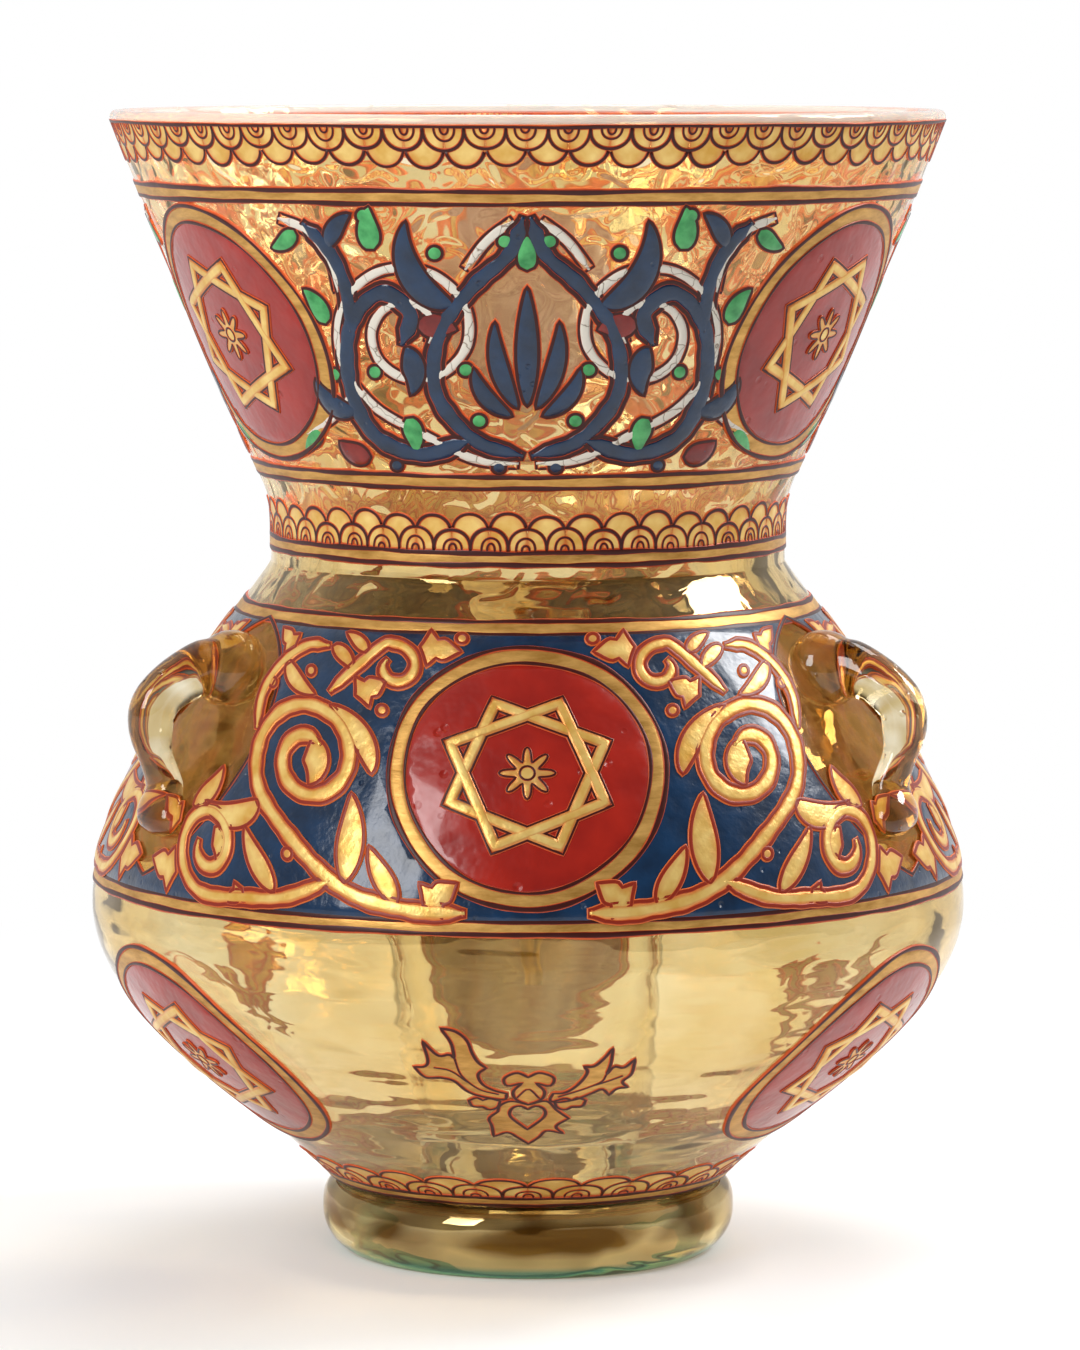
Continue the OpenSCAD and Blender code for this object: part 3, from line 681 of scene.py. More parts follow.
def scales(name, z, way, copies, together, deep, deeper, under_line):
    """A band of two rows; way is 1 for scales that stand up from a line and -1 for scales that hang. A few
    are drawn together, each a little different, and repeated round the lamp."""
    r = wall_r(z)
    pitch = 2 * math.pi * r / copies / together
    arch = np.linspace(-math.pi / 2, math.pi / 2, 19)

    def bow(centre, wide, tall, foot=0.0):
        x, y = centre + wide / 2 * np.sin(arch), foot + tall * np.cos(arch) ** ARCH_POWER
        return np.stack([x, way * y], axis=1)

    gold_ground, lines = Drawing(), Drawing(LINE_SUNK)
    for k in range(together):
        odd, even = math.sin(7.3 * k + copies), math.sin(4.1 * k + 2 * copies)
        left, low = k * pitch, deep * ROW_OVERLAP
        scallop = bow(left + pitch / 2, pitch, (deeper - low) * (1 + 0.07 * odd), low)
        base = np.linspace((left + pitch, 0), (left, 0), 10)
        gold_ground.field(np.concatenate([base, scallop]), SCALE_GOLD_T, grid=1.6)
        lines.ribbon(bow(left, pitch, deep * (1 + 0.06 * even)), SCALE_LINE_W + 0.15 * odd, SCALE_LINE_T)
        for wide, tall in ((0.5, 0.58 + 0.06 * even), (0.2, 0.3 + 0.05 * odd)):
            lines.ribbon(bow(left + 0.4 * odd, pitch * wide, deep * tall), EYE_LINE_W, EYE_LINE_T)
        over = np.abs(np.mod(scallop[:, 0] - left + pitch / 2, pitch) - pitch / 2) / (pitch / 2)
        below = np.abs(scallop[:, 1]) > deep * np.clip(1 - over ** 2, 0, 1) ** (ARCH_POWER / 2) - 0.3
        lines.ribbon(scallop[below], SCALE_LINE_W + 0.15 * even, SCALE_LINE_T)
    lay(name + "_scale_gold", gold_ground, pale_gold, z, copies=copies, turn_radius=r)
    lay(name + "_scale_lines", lines, red_line, z, copies=copies, turn_radius=r)
    if under_line:
        edge = Drawing(LINE_SUNK)
        path, press = round_path(r, 0, copies)
        edge.ribbon(path, SCALE_LINE_W * press, EDGE_LINE_T, closed=True, level=True)
        lay(name + "_edge_line", edge, red_line, z, turn_radius=r)


# Pale gilding: one thin coat, so it is lighter and yellower than the bands, and flushed with red
# where the drawn line ran into it.
pale_gold, tree, place = start_material("thin pale gilding")
wash = add(tree, "TexNoise", {"Vector": place, "Scale": 1 / (6 * MM), "Detail": 3.0})
grain = add(tree, "TexNoise", {"Vector": place, "Scale": 1 / (2.5 * MM), "Detail": 3.0})
near_line = add(tree, "Attribute", attribute_name="edge")
thin = add(tree, "ValToRGB", {"Fac": wash}, [(0.3, "#dba648"), (0.7, "#f8d684")])
flush = add(tree, "Math", {0: near_line.outputs["Fac"], 1: 0.8}, operation="MULTIPLY")
flushed = add(tree, "Mix", {0: flush, 6: thin, 7: "#cb5a22"}, data_type="RGBA")
finish_enamel(tree, flushed.outputs[2], ("#f4c868", "#ffe6a0"), grain, depth=0.4, roughness=0.34,
              metallic=0.35)

scales("lip", 272.4, way=-1, copies=11, together=6, deep=5.6, deeper=9.5, under_line=True)
scales("waist", 174.2, way=1, copies=11, together=4, deep=5.2, deeper=8.6, under_line=False)
scales("foot", 21.0, way=1, copies=9, together=3, deep=5.0, deeper=8.0, under_line=False)

# Medallions
# Nine round fields of red enamel, melted on thick so that it is crowned and a little pitted. Each
# has a gilded ring between two drawn lines, and a gilded star of two squares with a flower in it.
FIELD_R, RING_W, ENAMEL_T = 28.2, 4.0, 0.45
NECK_Z, BODY_Z, BELLY_Z = 223.5, 126.0, 53.5
MEDALLIONS = [("neck", NECK_Z, {"left": -59, "right": 59, "back": 180}),
              ("body", BODY_Z, {"front": 0, "rear_left": -120, "rear_right": 120}),
              ("belly", BELLY_Z, {"left": -59, "right": 59, "back": 180})]
RING_T, RING_LINE_T = GILT_T + 0.15, 0.62
STAR_R, STAR_W, STAR_T, STAR_LINE_W, STAR_LINE_T = 19.0, 2.9, 0.5, 0.95, 0.3
STAR_LINE_AT, LOBE_DEPTH = 0.72, 0.28
FLOWER_R, FLOWER_EYE_R, FLOWER_T, FLOWER_LINE_W = 6.4, 1.7, 0.35, 0.8
DOT_STEP = 0.6


def circle(x, y, r, step=1.0):
    turn = np.arange(max(int(2 * math.pi * r / step), 10))
    turn = turn * 2 * math.pi / len(turn)
    return np.stack([x + r * np.cos(turn), y + r * np.sin(turn)], axis=1)


def pitted_enamel(name, pit_size, pit_edge, melt_size, detail, waves, shades, under):
    """Thick glossy enamel: two shades and slow waves from the melt, and burst bubbles; sizes in mm."""
    material, tree, place = start_material(name)
    pits = add(tree, "TexVoronoi", {"Vector": place, "Scale": 1 / (pit_size * MM)})
    pit = add(tree, "MapRange", {"Value": pits, "From Min": pit_edge[0], "From Max": pit_edge[1]})
    melt = add(tree, "TexNoise", {"Vector": place, "Scale": 1 / (melt_size * MM), "Detail": detail})
    skin = add(tree, "Math", {0: melt, 1: waves, 2: pit}, operation="MULTIPLY_ADD")
    shade = add(tree, "ValToRGB", {"Fac": melt}, zip((0.3, 0.7), shades))
    finish_enamel(tree, shade, under, skin, depth=0.6, roughness=0.28, coat=0.5)
    return material


# Red enamel: opaque brick red, glossy, with burst bubbles and a slow unevenness from the melt.
red_enamel = pitted_enamel("opaque red enamel", pit_size=7.5, pit_edge=(0.06, 0.16), melt_size=11,
                           detail=3.0, waves=2.2,
                           shades=("#8f150b", "#ad2110"), under=("#96686e", "#bb9a96"))

field = Drawing()
field.field(circle(0, 0, FIELD_R), ENAMEL_T)
ring = Drawing()
ring.ribbon(circle(0, 0, FIELD_R + RING_W / 2), RING_W, RING_T, closed=True)
ring_lines = Drawing(LINE_SUNK)
for r, wide, seed in ((FIELD_R + 0.1, 1.2, 1.0), (FIELD_R + RING_W, 1.6, 2.6)):
    path = circle(0, 0, r)
    turn = np.arange(len(path)) * 2 * math.pi / len(path)
    path = path * (1 + 0.006 * np.sin(3 * turn + seed) + 0.004 * np.sin(8 * turn))[:, None]
    press = 1 + 0.2 * np.sin(5 * turn + seed) + 0.12 * np.sin(13 * turn)
    ring_lines.ribbon(path, wide * press, RING_LINE_T, closed=True)

star_gold, star_lines = Drawing(), Drawing()
for quarter in (0, math.pi / 4):
    turns = [quarter + k * math.pi / 2 + math.pi / 8 for k in range(4)]
    corners = [(STAR_R * math.cos(t), STAR_R * math.sin(t)) for t in turns]
    square = np.concatenate([np.linspace(a, b, 27, endpoint=False)
                             for a, b in zip(corners, corners[1:] + corners[:1])])
    star_gold.ribbon(square, STAR_W, STAR_T + quarter * 0.1, ENAMEL_T, closed=True)
    for scale in (1 - STAR_W / STAR_R * STAR_LINE_AT, 1 + STAR_W / STAR_R * STAR_LINE_AT):
        star_lines.ribbon(square * scale, STAR_LINE_W, STAR_LINE_T, ENAMEL_T, closed=True)
turn = np.linspace(0, 2 * math.pi, 96, endpoint=False)
lobes = FLOWER_R * (1 - LOBE_DEPTH + LOBE_DEPTH * np.cos(8 * turn))
flower = np.stack([lobes * np.cos(turn), lobes * np.sin(turn)], axis=1)
star_gold.field(flower, FLOWER_T, ENAMEL_T, grid=1.6)
star_lines.ribbon(flower, FLOWER_LINE_W, FLOWER_T * 1.2, ENAMEL_T, closed=True)
star_lines.ribbon(circle(0, 0, FLOWER_EYE_R, DOT_STEP), FLOWER_LINE_W, STAR_T, ENAMEL_T, closed=True)
for zone, z, places in MEDALLIONS:
    for side, azimuth in places.items():
        label = zone + "_" + side
        lay(label + "_red", field, red_enamel, z, azimuth,
            replaces=[f"{zone}_medallion_{side}"])
        lay(label + "_ring", ring, gilding, z, azimuth, replaces=[f"{zone}_ring_{side}"])
        lay(label + "_ring_lines", ring_lines, red_line, z, azimuth)
        lay(label + "_star_lines", star_lines, red_line, z, azimuth)
        lay(label + "_star", star_gold, pale_gold, z, azimuth)

# Blue band
# One coat of dark blue enamel round the body, left open at the three medallions and at a bare
# pointed oval behind each handle, which has a drawn line round it and a thin red-brown stain in it.
BAND_LOW, BAND_HIGH, BAND_R = 94.2, 155.6, 90.0
OVAL_W, OVAL_H, OVAL_Z = 23.0, 34.0, 128.4
OVAL_LINE_W, OVAL_LINE_T, WASH_T, RING_LAP = 1.3, 0.6, 0.06, 0.4
oval_arc = (OVAL_H ** 2 + OVAL_W ** 2) / (2 * OVAL_W)
oval_up = np.linspace(-OVAL_H, OVAL_H, 68)
oval_half = np.sqrt(oval_arc ** 2 - oval_up ** 2) - (oval_arc - OVAL_W)
band_height = along_wall(BAND_HIGH) - along_wall(BAND_LOW)
oval_y = along_wall(OVAL_Z) - along_wall(BAND_LOW)
medallion_y = along_wall(BODY_Z) - along_wall(BAND_LOW)


def r_up(y):
    """Radius of the wall at a length in mm up from the band's lower edge."""
    return np.interp(along_wall(BAND_LOW) + np.asarray(y, float), wall_length, outer_wall[:, 0])


def even_turn(x, y, azimuth):
    """Moves points from true size about an azimuth to the band's even turn."""
    return np.stack([(np.radians(azimuth) + x / r_up(y)) * BAND_R, y], axis=1)


def oval_side(side, azimuth):
    """One edge of a bare oval, from its lower tip up to the band's upper edge or its upper tip."""
    edge = even_turn(side * oval_half, oval_y + oval_up, azimuth)
    return edge[edge[:, 1] < band_height - 0.05]


half_turn = math.pi * BAND_R
lower_edge = np.linspace((-half_turn, 0), (half_turn, 0), 480, endpoint=False)
outline = [lower_edge, np.linspace((half_turn, 0), (half_turn, oval_y - OVAL_H), 4, endpoint=False)]
outline.append(oval_side(-1, 180))
for azimuth in (60, -60, -180):
    into = oval_side(1, azimuth)[::-1]
    top = np.linspace((outline[-1][-1][0], band_height), (into[0][0], band_height), 120)
    outline += [top, into[:-1]]
    if azimuth > -180:
        outline.append(oval_side(-1, azimuth))
outline.append(np.linspace((-half_turn, oval_y - OVAL_H), (-half_turn, 0), 4, endpoint=False))
windows = []
for azimuth in (-120, 0, 120):
    hole = circle(0, 0, FIELD_R + RING_W - RING_LAP, 1.5)
    windows.append(even_turn(hole[:, 0], medallion_y + hole[:, 1], azimuth))
band = Drawing()
band.field(np.concatenate(outline), ENAMEL_T, holes=windows, grid=2.6, seam=half_turn)

# Blue enamel: dark lapis blue, glossy over fine brush marks, with pin-holes and slightly lighter where thin.
blue_enamel = pitted_enamel("lapis blue enamel", pit_size=5.5, pit_edge=(0.05, 0.14), melt_size=7,
                            detail=4.0, waves=2.0,
                            shades=("#06203a", "#0d3357"), under=("#4e3320", "#a07a46"))
lay("blue_band_enamel", band, blue_enamel, BAND_LOW, turn_radius=BAND_R,
    replaces=["blue_band"])

oval_line = Drawing(LINE_SUNK)
right_side = np.stack([oval_half, oval_up], axis=1)
pointed = np.concatenate([right_side, right_side[-2:0:-1] * (-1, 1)])
oval_line.ribbon(pointed, OVAL_LINE_W, OVAL_LINE_T, closed=True)
oval_wash = Drawing()
oval_wash.field(pointed, WASH_T, grid=3.0)

# Red-brown stain: one thin brushed coat, so thin that the glass shows through its streaks.
stain_wash, tree, place = start_material("red-brown stain")
brushed = add(tree, "Mapping", {"Vector": place, "Scale": (1, 1, 0.4), "Rotation": (0.5, 0, 0)})
strokes = add(tree, "TexNoise", {"Vector": brushed, "Scale": 1 / (6 * MM), "Detail": 3.0})
stain = add(tree, "ValToRGB", {"Fac": strokes}, [(0.35, "#a8602c"), (0.7, "#dcae68")])
film = add(tree, "BsdfTransparent", {"Color": "#f8eacd"})
brown = add(tree, "BsdfPrincipled", {"Base Color": stain, "Roughness": 0.15})
cover = add(tree, "MapRange", {"Value": strokes, "From Min": 0.58, "From Max": 0.35, "To Max": 0.28})
thin_film = add(tree, "MixShader", {0: cover, 1: film, 2: brown})
add(tree, "OutputMaterial", {"Surface": thin_film})
for side, azimuth in HANDLE_AT.items():
    lay("oval_line_" + side, oval_line, red_line, OVAL_Z, azimuth)
    lay("oval_wash_" + side, oval_wash, stain_wash, OVAL_Z, azimuth)

# Gold scrollwork on the blue
# Split leaves and scrolling stems in gold, the same on both sides of each medallion, with a drawn
# red line round every leaf and stem.
# Orange-red line: the same enamel drawn thin over gold, so it is bright nearly all through.
bright_line = line_enamel("orange-red line enamel", "#8a2712", "#b53c1a", "#e0702f")
STROKE_STEP, GOLD_DOT_R = 0.9, 1.35
SCROLL_T, SCROLL_LEAF_T, SCROLL_LINE_W = 0.4, 0.3, 1.3
SCROLL_LINE_T, SCROLL_LEAF_LINE_T = 0.28, 0.34
scroll_gold, scroll_lines = Drawing(), Drawing()


def through(points, step):
    """A smooth path through points, with about a step in mm between its own points."""
    p = np.asarray(points, float)
    q = np.concatenate([2 * p[:1] - p[1:2], p, 2 * p[-1:] - p[-2:-1]])
    t = np.linspace(0, 1, 16, endpoint=False)[:, None]
    path = np.concatenate([
        0.5 * (2 * b + (c - a) * t + (2 * a - 5 * b + 4 * c - d) * t ** 2 + (3 * b - a - 3 * c + d) * t ** 3)
        for a, b, c, d in zip(q, q[1:], q[2:], q[3:])])
    path = np.concatenate([path, p[-1:]])
    length = lengths(path)
    count = max(int(length[-1] / step), 3)
    at = np.linspace(0, length[-1], count + 1)
    return np.stack([np.interp(at, length, path[:, k]) for k in (0, 1)], axis=1)


def around(path, width):
    """The closed line round an open stroke."""
    aside = outward(path) * np.broadcast_to(width, len(path))[:, None] / 2
    return np.concatenate([path + aside, (path - aside)[::-1]])


def tapered(path, width):
    """Width of a brush stroke that wavers a little and starts and ends thin."""
    count = np.arange(len(path))
    waver = 1 + 0.07 * np.sin(0.45 * count + width) + 0.05 * np.sin(1.1 * count)
    return width * waver * np.clip(np.minimum(count, count[::-1]) / 4, 0.3, 1)


def leaf_shape(x, y, turned, long, wide, curl, widest, fuller=0.0):
    """Outline of a pointed leaf: where it starts, which way it points in degrees, its length and width, how
    far it curls in degrees, where it is widest and how much fuller one side is."""
    count = max(int(long / 0.8), 10)
    s = np.linspace(0, 1, count + 1)
    heading = np.radians(turned + curl * s)
    ahead = np.stack([np.cos(heading), np.sin(heading)], axis=1)
    spine = (x, y) + np.cumsum(ahead, axis=0) * long / count
    half = wide / 2 * np.sin(math.pi * s ** (math.log(0.5) / math.log(widest))) ** 0.75
    aside = np.stack([-np.sin(heading), np.cos(heading)], axis=1) * half[:, None]
    left, right = spine + aside * (1 + fuller), spine - aside * (1 - fuller)
    return np.concatenate([right[:-1], left[:0:-1]])


def cut_leaf(points, tips):
    """A closed line through points that is sharp at the numbered ones and smooth at the others."""
    ring = points[tips[0]:] + points[:tips[0]]
    cuts = [t - tips[0] for t in tips] + [len(points)]
    runs = [through((ring + ring[:1])[a:b + 1], 0.7)[:-1] for a, b in zip(cuts, cuts[1:])]
    return np.concatenate(runs)


def mirrored(points):
    """The same points at the right of the middle and turned over at the left."""
    return [np.asarray(points) * (side, 1) for side in (1, -1)]


def gold_stem(points, width):
    for path in mirrored(through(points, STROKE_STEP)):
        press = tapered(path, width)
        scroll_gold.ribbon(path, press, SCROLL_T, ENAMEL_T)
        scroll_lines.ribbon(around(path, press + 0.8), SCROLL_LINE_W, SCROLL_LINE_T, ENAMEL_T, closed=True)


def gold_leaf(outline):
    for shape in mirrored(outline):
        scroll_gold.field(shape, SCROLL_LEAF_T, ENAMEL_T, grid=2.0)
        scroll_lines.ribbon(shape, SCROLL_LINE_W, SCROLL_LEAF_LINE_T, ENAMEL_T, closed=True)


def spiral(x, y, r_out, r_in, start, turns):
    """Points of a scroll that winds in round a centre, from a start in degrees."""
    t = np.linspace(0, 1, 16)
    turn = math.radians(start) + t * turns * 2 * math.pi
    r = r_out + (r_in - r_out) * t ** 0.85
    return np.stack([x + r * np.cos(turn), y + r * np.sin(turn)], axis=1)


def ivy(x, y, turned, size):
    """Outline of a leaf with three points: where it starts, which way it points and its length."""
    half = [(0, 0), (0.1, 0.2), (0.22, 0.5), (0.42, 0.25), (0.62, 0.28), (1, 0)]
    c, s = size * math.cos(math.radians(turned)), size * math.sin(math.radians(turned))
    whole = half + [(a, -b) for a, b in half[-2:0:-1]]
    return cut_leaf([(x + a * c - b * s, y + a * s + b * c) for a, b in whole], [0, 2, 3, 5, 7, 8])


gold_stem([(14, -33), (28, -32.5), (44, -28), *spiral(53, 2, 17.5, 4.5, -62, 1.55)], 3.4)
gold_stem([(46, -27), (58, -31.5), (70, -32.5), *spiral(82, -21.5, 11.5, 3.5, -95, 1.3)], 2.8)
gold_stem([(48, 19), (42, 25), *spiral(31, 26.5, 6.5, 2.6, 60, 0.95)], 2.4)
gold_stem([(69.5, 8), (69, 17), (64, 25), (56, 30.5), (49, 31)], 2.4)
for shape in (
        (53, 7, 215, 13, 7.0, 105, 0.4, 0.3), (81, -17, 200, 10, 5.0, 110, 0.4, 0.3),
        (43, -28, 118, 22, 6.6, -46, 0.42, -0.4), (36, -2, 78, 21, 5.6, -44, 0.45, 0.3),
        (66, -9, -38, 19, 6.2, 62, 0.4, -0.4), (60, -31, 32, 18, 5.2, 46, 0.4, 0.4),
        (90, -13, 168, 15, 5.0, -66, 0.4, -0.3), (29, -32, 44, 15, 5.0, 34, 0.4, 0.3),
        (62, 27, -118, 13, 4.6, -40, 0.4, 0.3), (49, 31, 196, 9, 4.0, 50, 0.4),
        (38, 29, 62, 8, 3.6, -40, 0.4)):
    gold_leaf(leaf_shape(*shape))
for shape in ((23.5, -31.5, 146, 9.5), (93, -29, 12, 11), (25, 32, 186, 10), (41, 18.5, 152, 9),
              (60, 29.5, 42, 7.5), (94, -17, 30, 8), (70, -30.5, -40, 5.5)):
    gold_leaf(ivy(*shape))
for x, y in ((57.5, -21.5), (15, 34.5), (54, 24), (34, 15), (66, 20)):
    gold_leaf(circle(x, y, GOLD_DOT_R, DOT_STEP))
lay("gold_scroll_lines", scroll_lines, bright_line, BODY_Z, copies=3)
lay("gold_scrolls", scroll_gold, pale_gold, BODY_Z, copies=3)

# Neck panels
# Between the neck medallions: white vine scrolls with green leaves and dark red buds, and over them a
# lyre of dark blue stems and split leaves, all drawn round with iron-red on the bare lustre.
vines, blue_leaves, green_leaves, buds = (Drawing() for _ in range(4))
panel_lines = Drawing(LINE_SUNK)
VINE_W, VINE_T, VINE_FLOOR, VINE_LINE_W, VINE_LINE_T = 2.1, 0.42, 0.04, 1.0, 0.26
STEM_T, LEAF_FLOOR, LEAF_LINE_W, STEM_LINE_T = 0.55, 0.06, 1.6, 0.42
BLUE_LEAF_T, BLUE_DOT_R, GREEN_DOT_R = 0.6, 1.5, 1.7


def vine(points):
    for path in mirrored(through(points, STROKE_STEP)):
        vines.ribbon(path, tapered(path, VINE_W), VINE_T, VINE_FLOOR)
        panel_lines.ribbon(around(path, VINE_W + 0.8), VINE_LINE_W, VINE_LINE_T, closed=True)


def blue_stem(points, width=3.6):
    for path in mirrored(through(points, STROKE_STEP)):
        press = tapered(path, width)
        blue_leaves.ribbon(path, press, STEM_T, LEAF_FLOOR)
        panel_lines.ribbon(around(path, press + 1.0), LEAF_LINE_W, STEM_LINE_T, closed=True)


def leaf(group, outline, rise=0.5, both=True):
    for shape in mirrored(outline)[:2 if both else 1]:
        group.field(shape, rise, LEAF_FLOOR, grid=2.0)
        panel_lines.ribbon(shape, LEAF_LINE_W, rise * 0.8, closed=True)


vine([(2, -31), (12, -30), (24, -24), *spiral(27, 2, 21, 5, -62, 1.75)])
vine([(45, 12), (47, 20), (53, 27), (61, 30)])
vine([(14, 18), (9, 25), (3, 30)])
vine([(42, -13), (48, -20), (57, -25)])
blue_stem([(1, -29), (12, -25), (21, -13), (20, 2), (12, 14), (4, 22), (0.8, 31)])
blue_stem([(13, -25), (25, -29), (37, -24), (43, -11), (42, 4), (34, 12), (27, 7), (29, -1)], 4.2)
blue_stem([(42, 2), (43, 13), (47, 22), (54, 29)])
leaf(blue_leaves, leaf_shape(0, -17, 90, 30, 5.0, 0, 0.45), BLUE_LEAF_T, both=False)
for shape in ((1.6, -17.5, 58, 23, 4.2, 36, 0.45), (2.6, -19, 22, 16, 4.0, 62, 0.45),
              (16, 9, 24, 25, 6.6, 74, 0.38, -0.4), (29, -1, 214, 14, 5.6, 96, 0.4, 0.4),
              (40, -18, 2, 15, 5.2, 60, 0.4, -0.4), (47, 22, 92, 11, 4.6, 60, 0.4)):
    leaf(blue_leaves, leaf_shape(*shape), BLUE_LEAF_T)
for x, y in ((6.5, -32), (31, -32), (44, -29)):
    leaf(blue_leaves, circle(x, y, BLUE_DOT_R, DOT_STEP))
leaf(green_leaves, leaf_shape(0, 17, 90, 9, 4.6, 0, 0.35), both=False)
for shape in ((35, 22, 62, 11, 5.6, 40, 0.35), (48.5, 3, 76, 11, 5.0, -40, 0.35),
              (29, -19, 230, 10, 5.0, 50, 0.35), (56, 28, -60, 9, 4.6, 50, 0.35),
              (51, -24, -20, 9, 4.4, -40, 0.35)):
    leaf(green_leaves, leaf_shape(*shape))
for x, y in ((14, -7), (21, 22), (47, -9), (11, -20), (36, -8), (5, 25), (38, 31)):
    leaf(green_leaves, circle(x, y, GREEN_DOT_R, DOT_STEP))
for shape in ((26, 3, 160, 9.5, 6.4, 40, 0.4), (37, -30, -4, 10, 5.6, 50, 0.4)):
    leaf(buds, leaf_shape(*shape))

# White enamel: thick milk-white line, finely cracked from cooling.
white_enamel, tree, place = start_material("cracked white enamel")
bent = add(tree, "TexNoise", {"Vector": place, "Scale": 1 / (3 * MM), "Detail": 2.0})
uneven = add(tree, "VectorMath", {0: bent.outputs["Color"], 1: [2 * MM] * 3, 2: place},
             operation="MULTIPLY_ADD")
cracks = add(tree, "TexVoronoi", {"Vector": uneven, "Scale": 1 / (6 * MM)}, feature="DISTANCE_TO_EDGE")
crack = add(tree, "MapRange", {"Value": cracks, "From Max": 0.02})
whites = add(tree, "Mix", {0: crack, 6: "#8d7a66", 7: "#e9e2d4"}, data_type="RGBA")
finish_enamel(tree, whites.outputs[2], ("#d6c49c", "#efe0b8"), crack, depth=0.2, roughness=0.3)


def pooled_enamel(name, pool_size, shades, under):
    """Thin glossy enamel in small pools, a little uneven in depth; the size is in mm."""
    material, tree, place = start_material(name)
    pool = add(tree, "TexNoise", {"Vector": place, "Scale": 1 / (pool_size * MM), "Detail": 3.0})
    shade = add(tree, "ValToRGB", {"Fac": pool}, zip((0.3, 0.7), shades))
    finish_enamel(tree, shade, under, pool, depth=0.3, roughness=0.25, coat=0.3)
    return material


# Green enamel: bright leaf green. Dark red enamel: the medallions' red laid thinner, so the amber below
# darkens it.
green_enamel = pooled_enamel("leaf green enamel", 4, ("#2c8a48", "#5cc070"), ("#b9ad74", "#dccf98"))
dark_red = pooled_enamel("dark red enamel", 5, ("#6d1712", "#942a20"), ("#b9694c", "#dfa67c"))

for name, drawing, material, slot in (("neck_panel_lines", panel_lines, red_line, "red_enamel"),
                                      ("neck_vines", vines, white_enamel, None),
                                      ("neck_blue_leaves", blue_leaves, blue_enamel, "blue_enamel"),
                                      ("neck_green_leaves", green_leaves, green_enamel, None),
                                      ("neck_buds", buds, dark_red, "red_enamel")):
    lay(name, drawing, material, NECK_Z, copies=3)

# Lotus sprays
# Under each body medallion: a lotus with a heart in it and two leafy wings, drawn in iron-red and
# filled with olive gold.
LOTUS_Z, LOTUS_GOLD_T = 52.0, 0.12
LOTUS_LINE_W, LOTUS_LINE_T, VEIN_W, VEIN_T = 1.2, 0.3, 0.8, 0.26
lotus_gold, lotus_lines = Drawing(), Drawing(LINE_SUNK)
palmette = [(0.2, -22), (-2.3, -18.8), (-4.7, -16.6), (-7.8, -18.6), (-8.2, -13.6), (-8.8, -10.2),
            (-6.8, -7.1), (-6.2, -4.4), (-3.6, -2.6), (0.2, -4), (4.4, -2.6), (6.8, -6.6), (9.5, -10.2),
            (6.6, -13.8), (8.3, -17.2), (4.4, -15.8), (2.6, -18.8)]
trefoil_top = [(-1.2, 4.6), (-4.6, 3.6), (-5.2, 6.4), (-2.4, 8.4), (0.2, 6.8), (2.8, 8.4), (6, 6.6),
               (5.2, 3.6), (2, 4.6), (3.9, 1.4), (3.2, -1.8), (0.2, -4), (-2.6, -1.8), (-3.2, 1.4)]
side_leaf = [(6.2, -2.6), (8.6, -1.6), (10.2, -2.4), (11.6, -1.4), (13.4, -2.6), (12.6, -5), (10.2, -5.2),
             (8.6, -6.4), (6.8, -5.2)]
left_wing = [(-4.7, 0.5), (-7.6, 1.7), (-10.2, 4), (-11.2, 7.6), (-9.4, 10), (-11.2, 12), (-12.5, 14.9),
             (-13.7, 18.9), (-16.3, 21.5), (-19.7, 22.3), (-17.3, 17.9), (-16.6, 13), (-17.8, 14.3),
             (-20.4, 13.9), (-24, 18.3), (-22.8, 12.4), (-23.5, 10), (-26.1, 9.6), (-23.5, 6), (-19.9, 6),
             (-16.8, 5), (-13.7, 1.1), (-10.2, -0.9), (-5.3, -1.9)]
right_wing = [(5.9, 0.5), (8.8, 0.9), (11.7, 4), (13.7, 8.2), (13, 10.4), (15.2, 10.4), (17.4, 12.8),
              (19.6, 16.3), (19.1, 11.2), (18.1, 7.2), (19.9, 10), (22.2, 9.6), (24.8, 12.4), (24, 7.2),
              (21.9, 4.4), (23.2, 2.1), (20.6, 1.7), (18.8, -0.7), (17.2, 1.7), (14.5, 0.1), (11.4, -1.9),
              (7.3, -3.1), (5.2, -2.3)]
heart = [(0, -15.2), (-3.8, -9.4), (-3.6, -5.8), (-1.7, -4.6), (0.1, -6), (2, -4.6), (3.8, -6), (3.8, -9.4)]
heart, lotus = cut_leaf(heart, [0, 4]), cut_leaf(palmette, [0, 3, 6, 9, 12, 14])
shapes = [cut_leaf(trefoil_top, [0, 4, 8, 11]), cut_leaf(left_wing, [0, 4, 9, 11, 14, 17]),
          cut_leaf(right_wing, [0, 4, 7, 9, 12, 15, 17])]
shapes += mirrored(cut_leaf(side_leaf, [0, 2, 4, 6]))
lotus_gold.field(lotus, LOTUS_GOLD_T, holes=[heart], grid=2.0)
for shape in shapes:
    lotus_gold.field(shape, LOTUS_GOLD_T, grid=2.0)
for shape in shapes + [heart, lotus]:
    lotus_lines.ribbon(shape, LOTUS_LINE_W, LOTUS_LINE_T, closed=True)
for vein in ([(-6.5, 0), (-11, 2), (-15, 7), (-16.6, 13)], [(-13.6, 4.6), (-17.5, 8.6), (-21.5, 9.6)],
             [(7, -1), (13, 2), (17, 4.6), (18.1, 7.2)], [(15.6, 3.4), (19, 5), (22, 6.6)],
             [(-2.6, -1.6), (0.2, 2.2), (2.8, -1.6)]):
    lotus_lines.ribbon(through(vein, 0.8), VEIN_W, VEIN_T)
lay("lotus_gold", lotus_gold, gilding, LOTUS_Z, copies=3)
lay("lotus_lines", lotus_lines, red_line, LOTUS_Z, copies=3)
bpy.data.objects.remove(wall_outline)

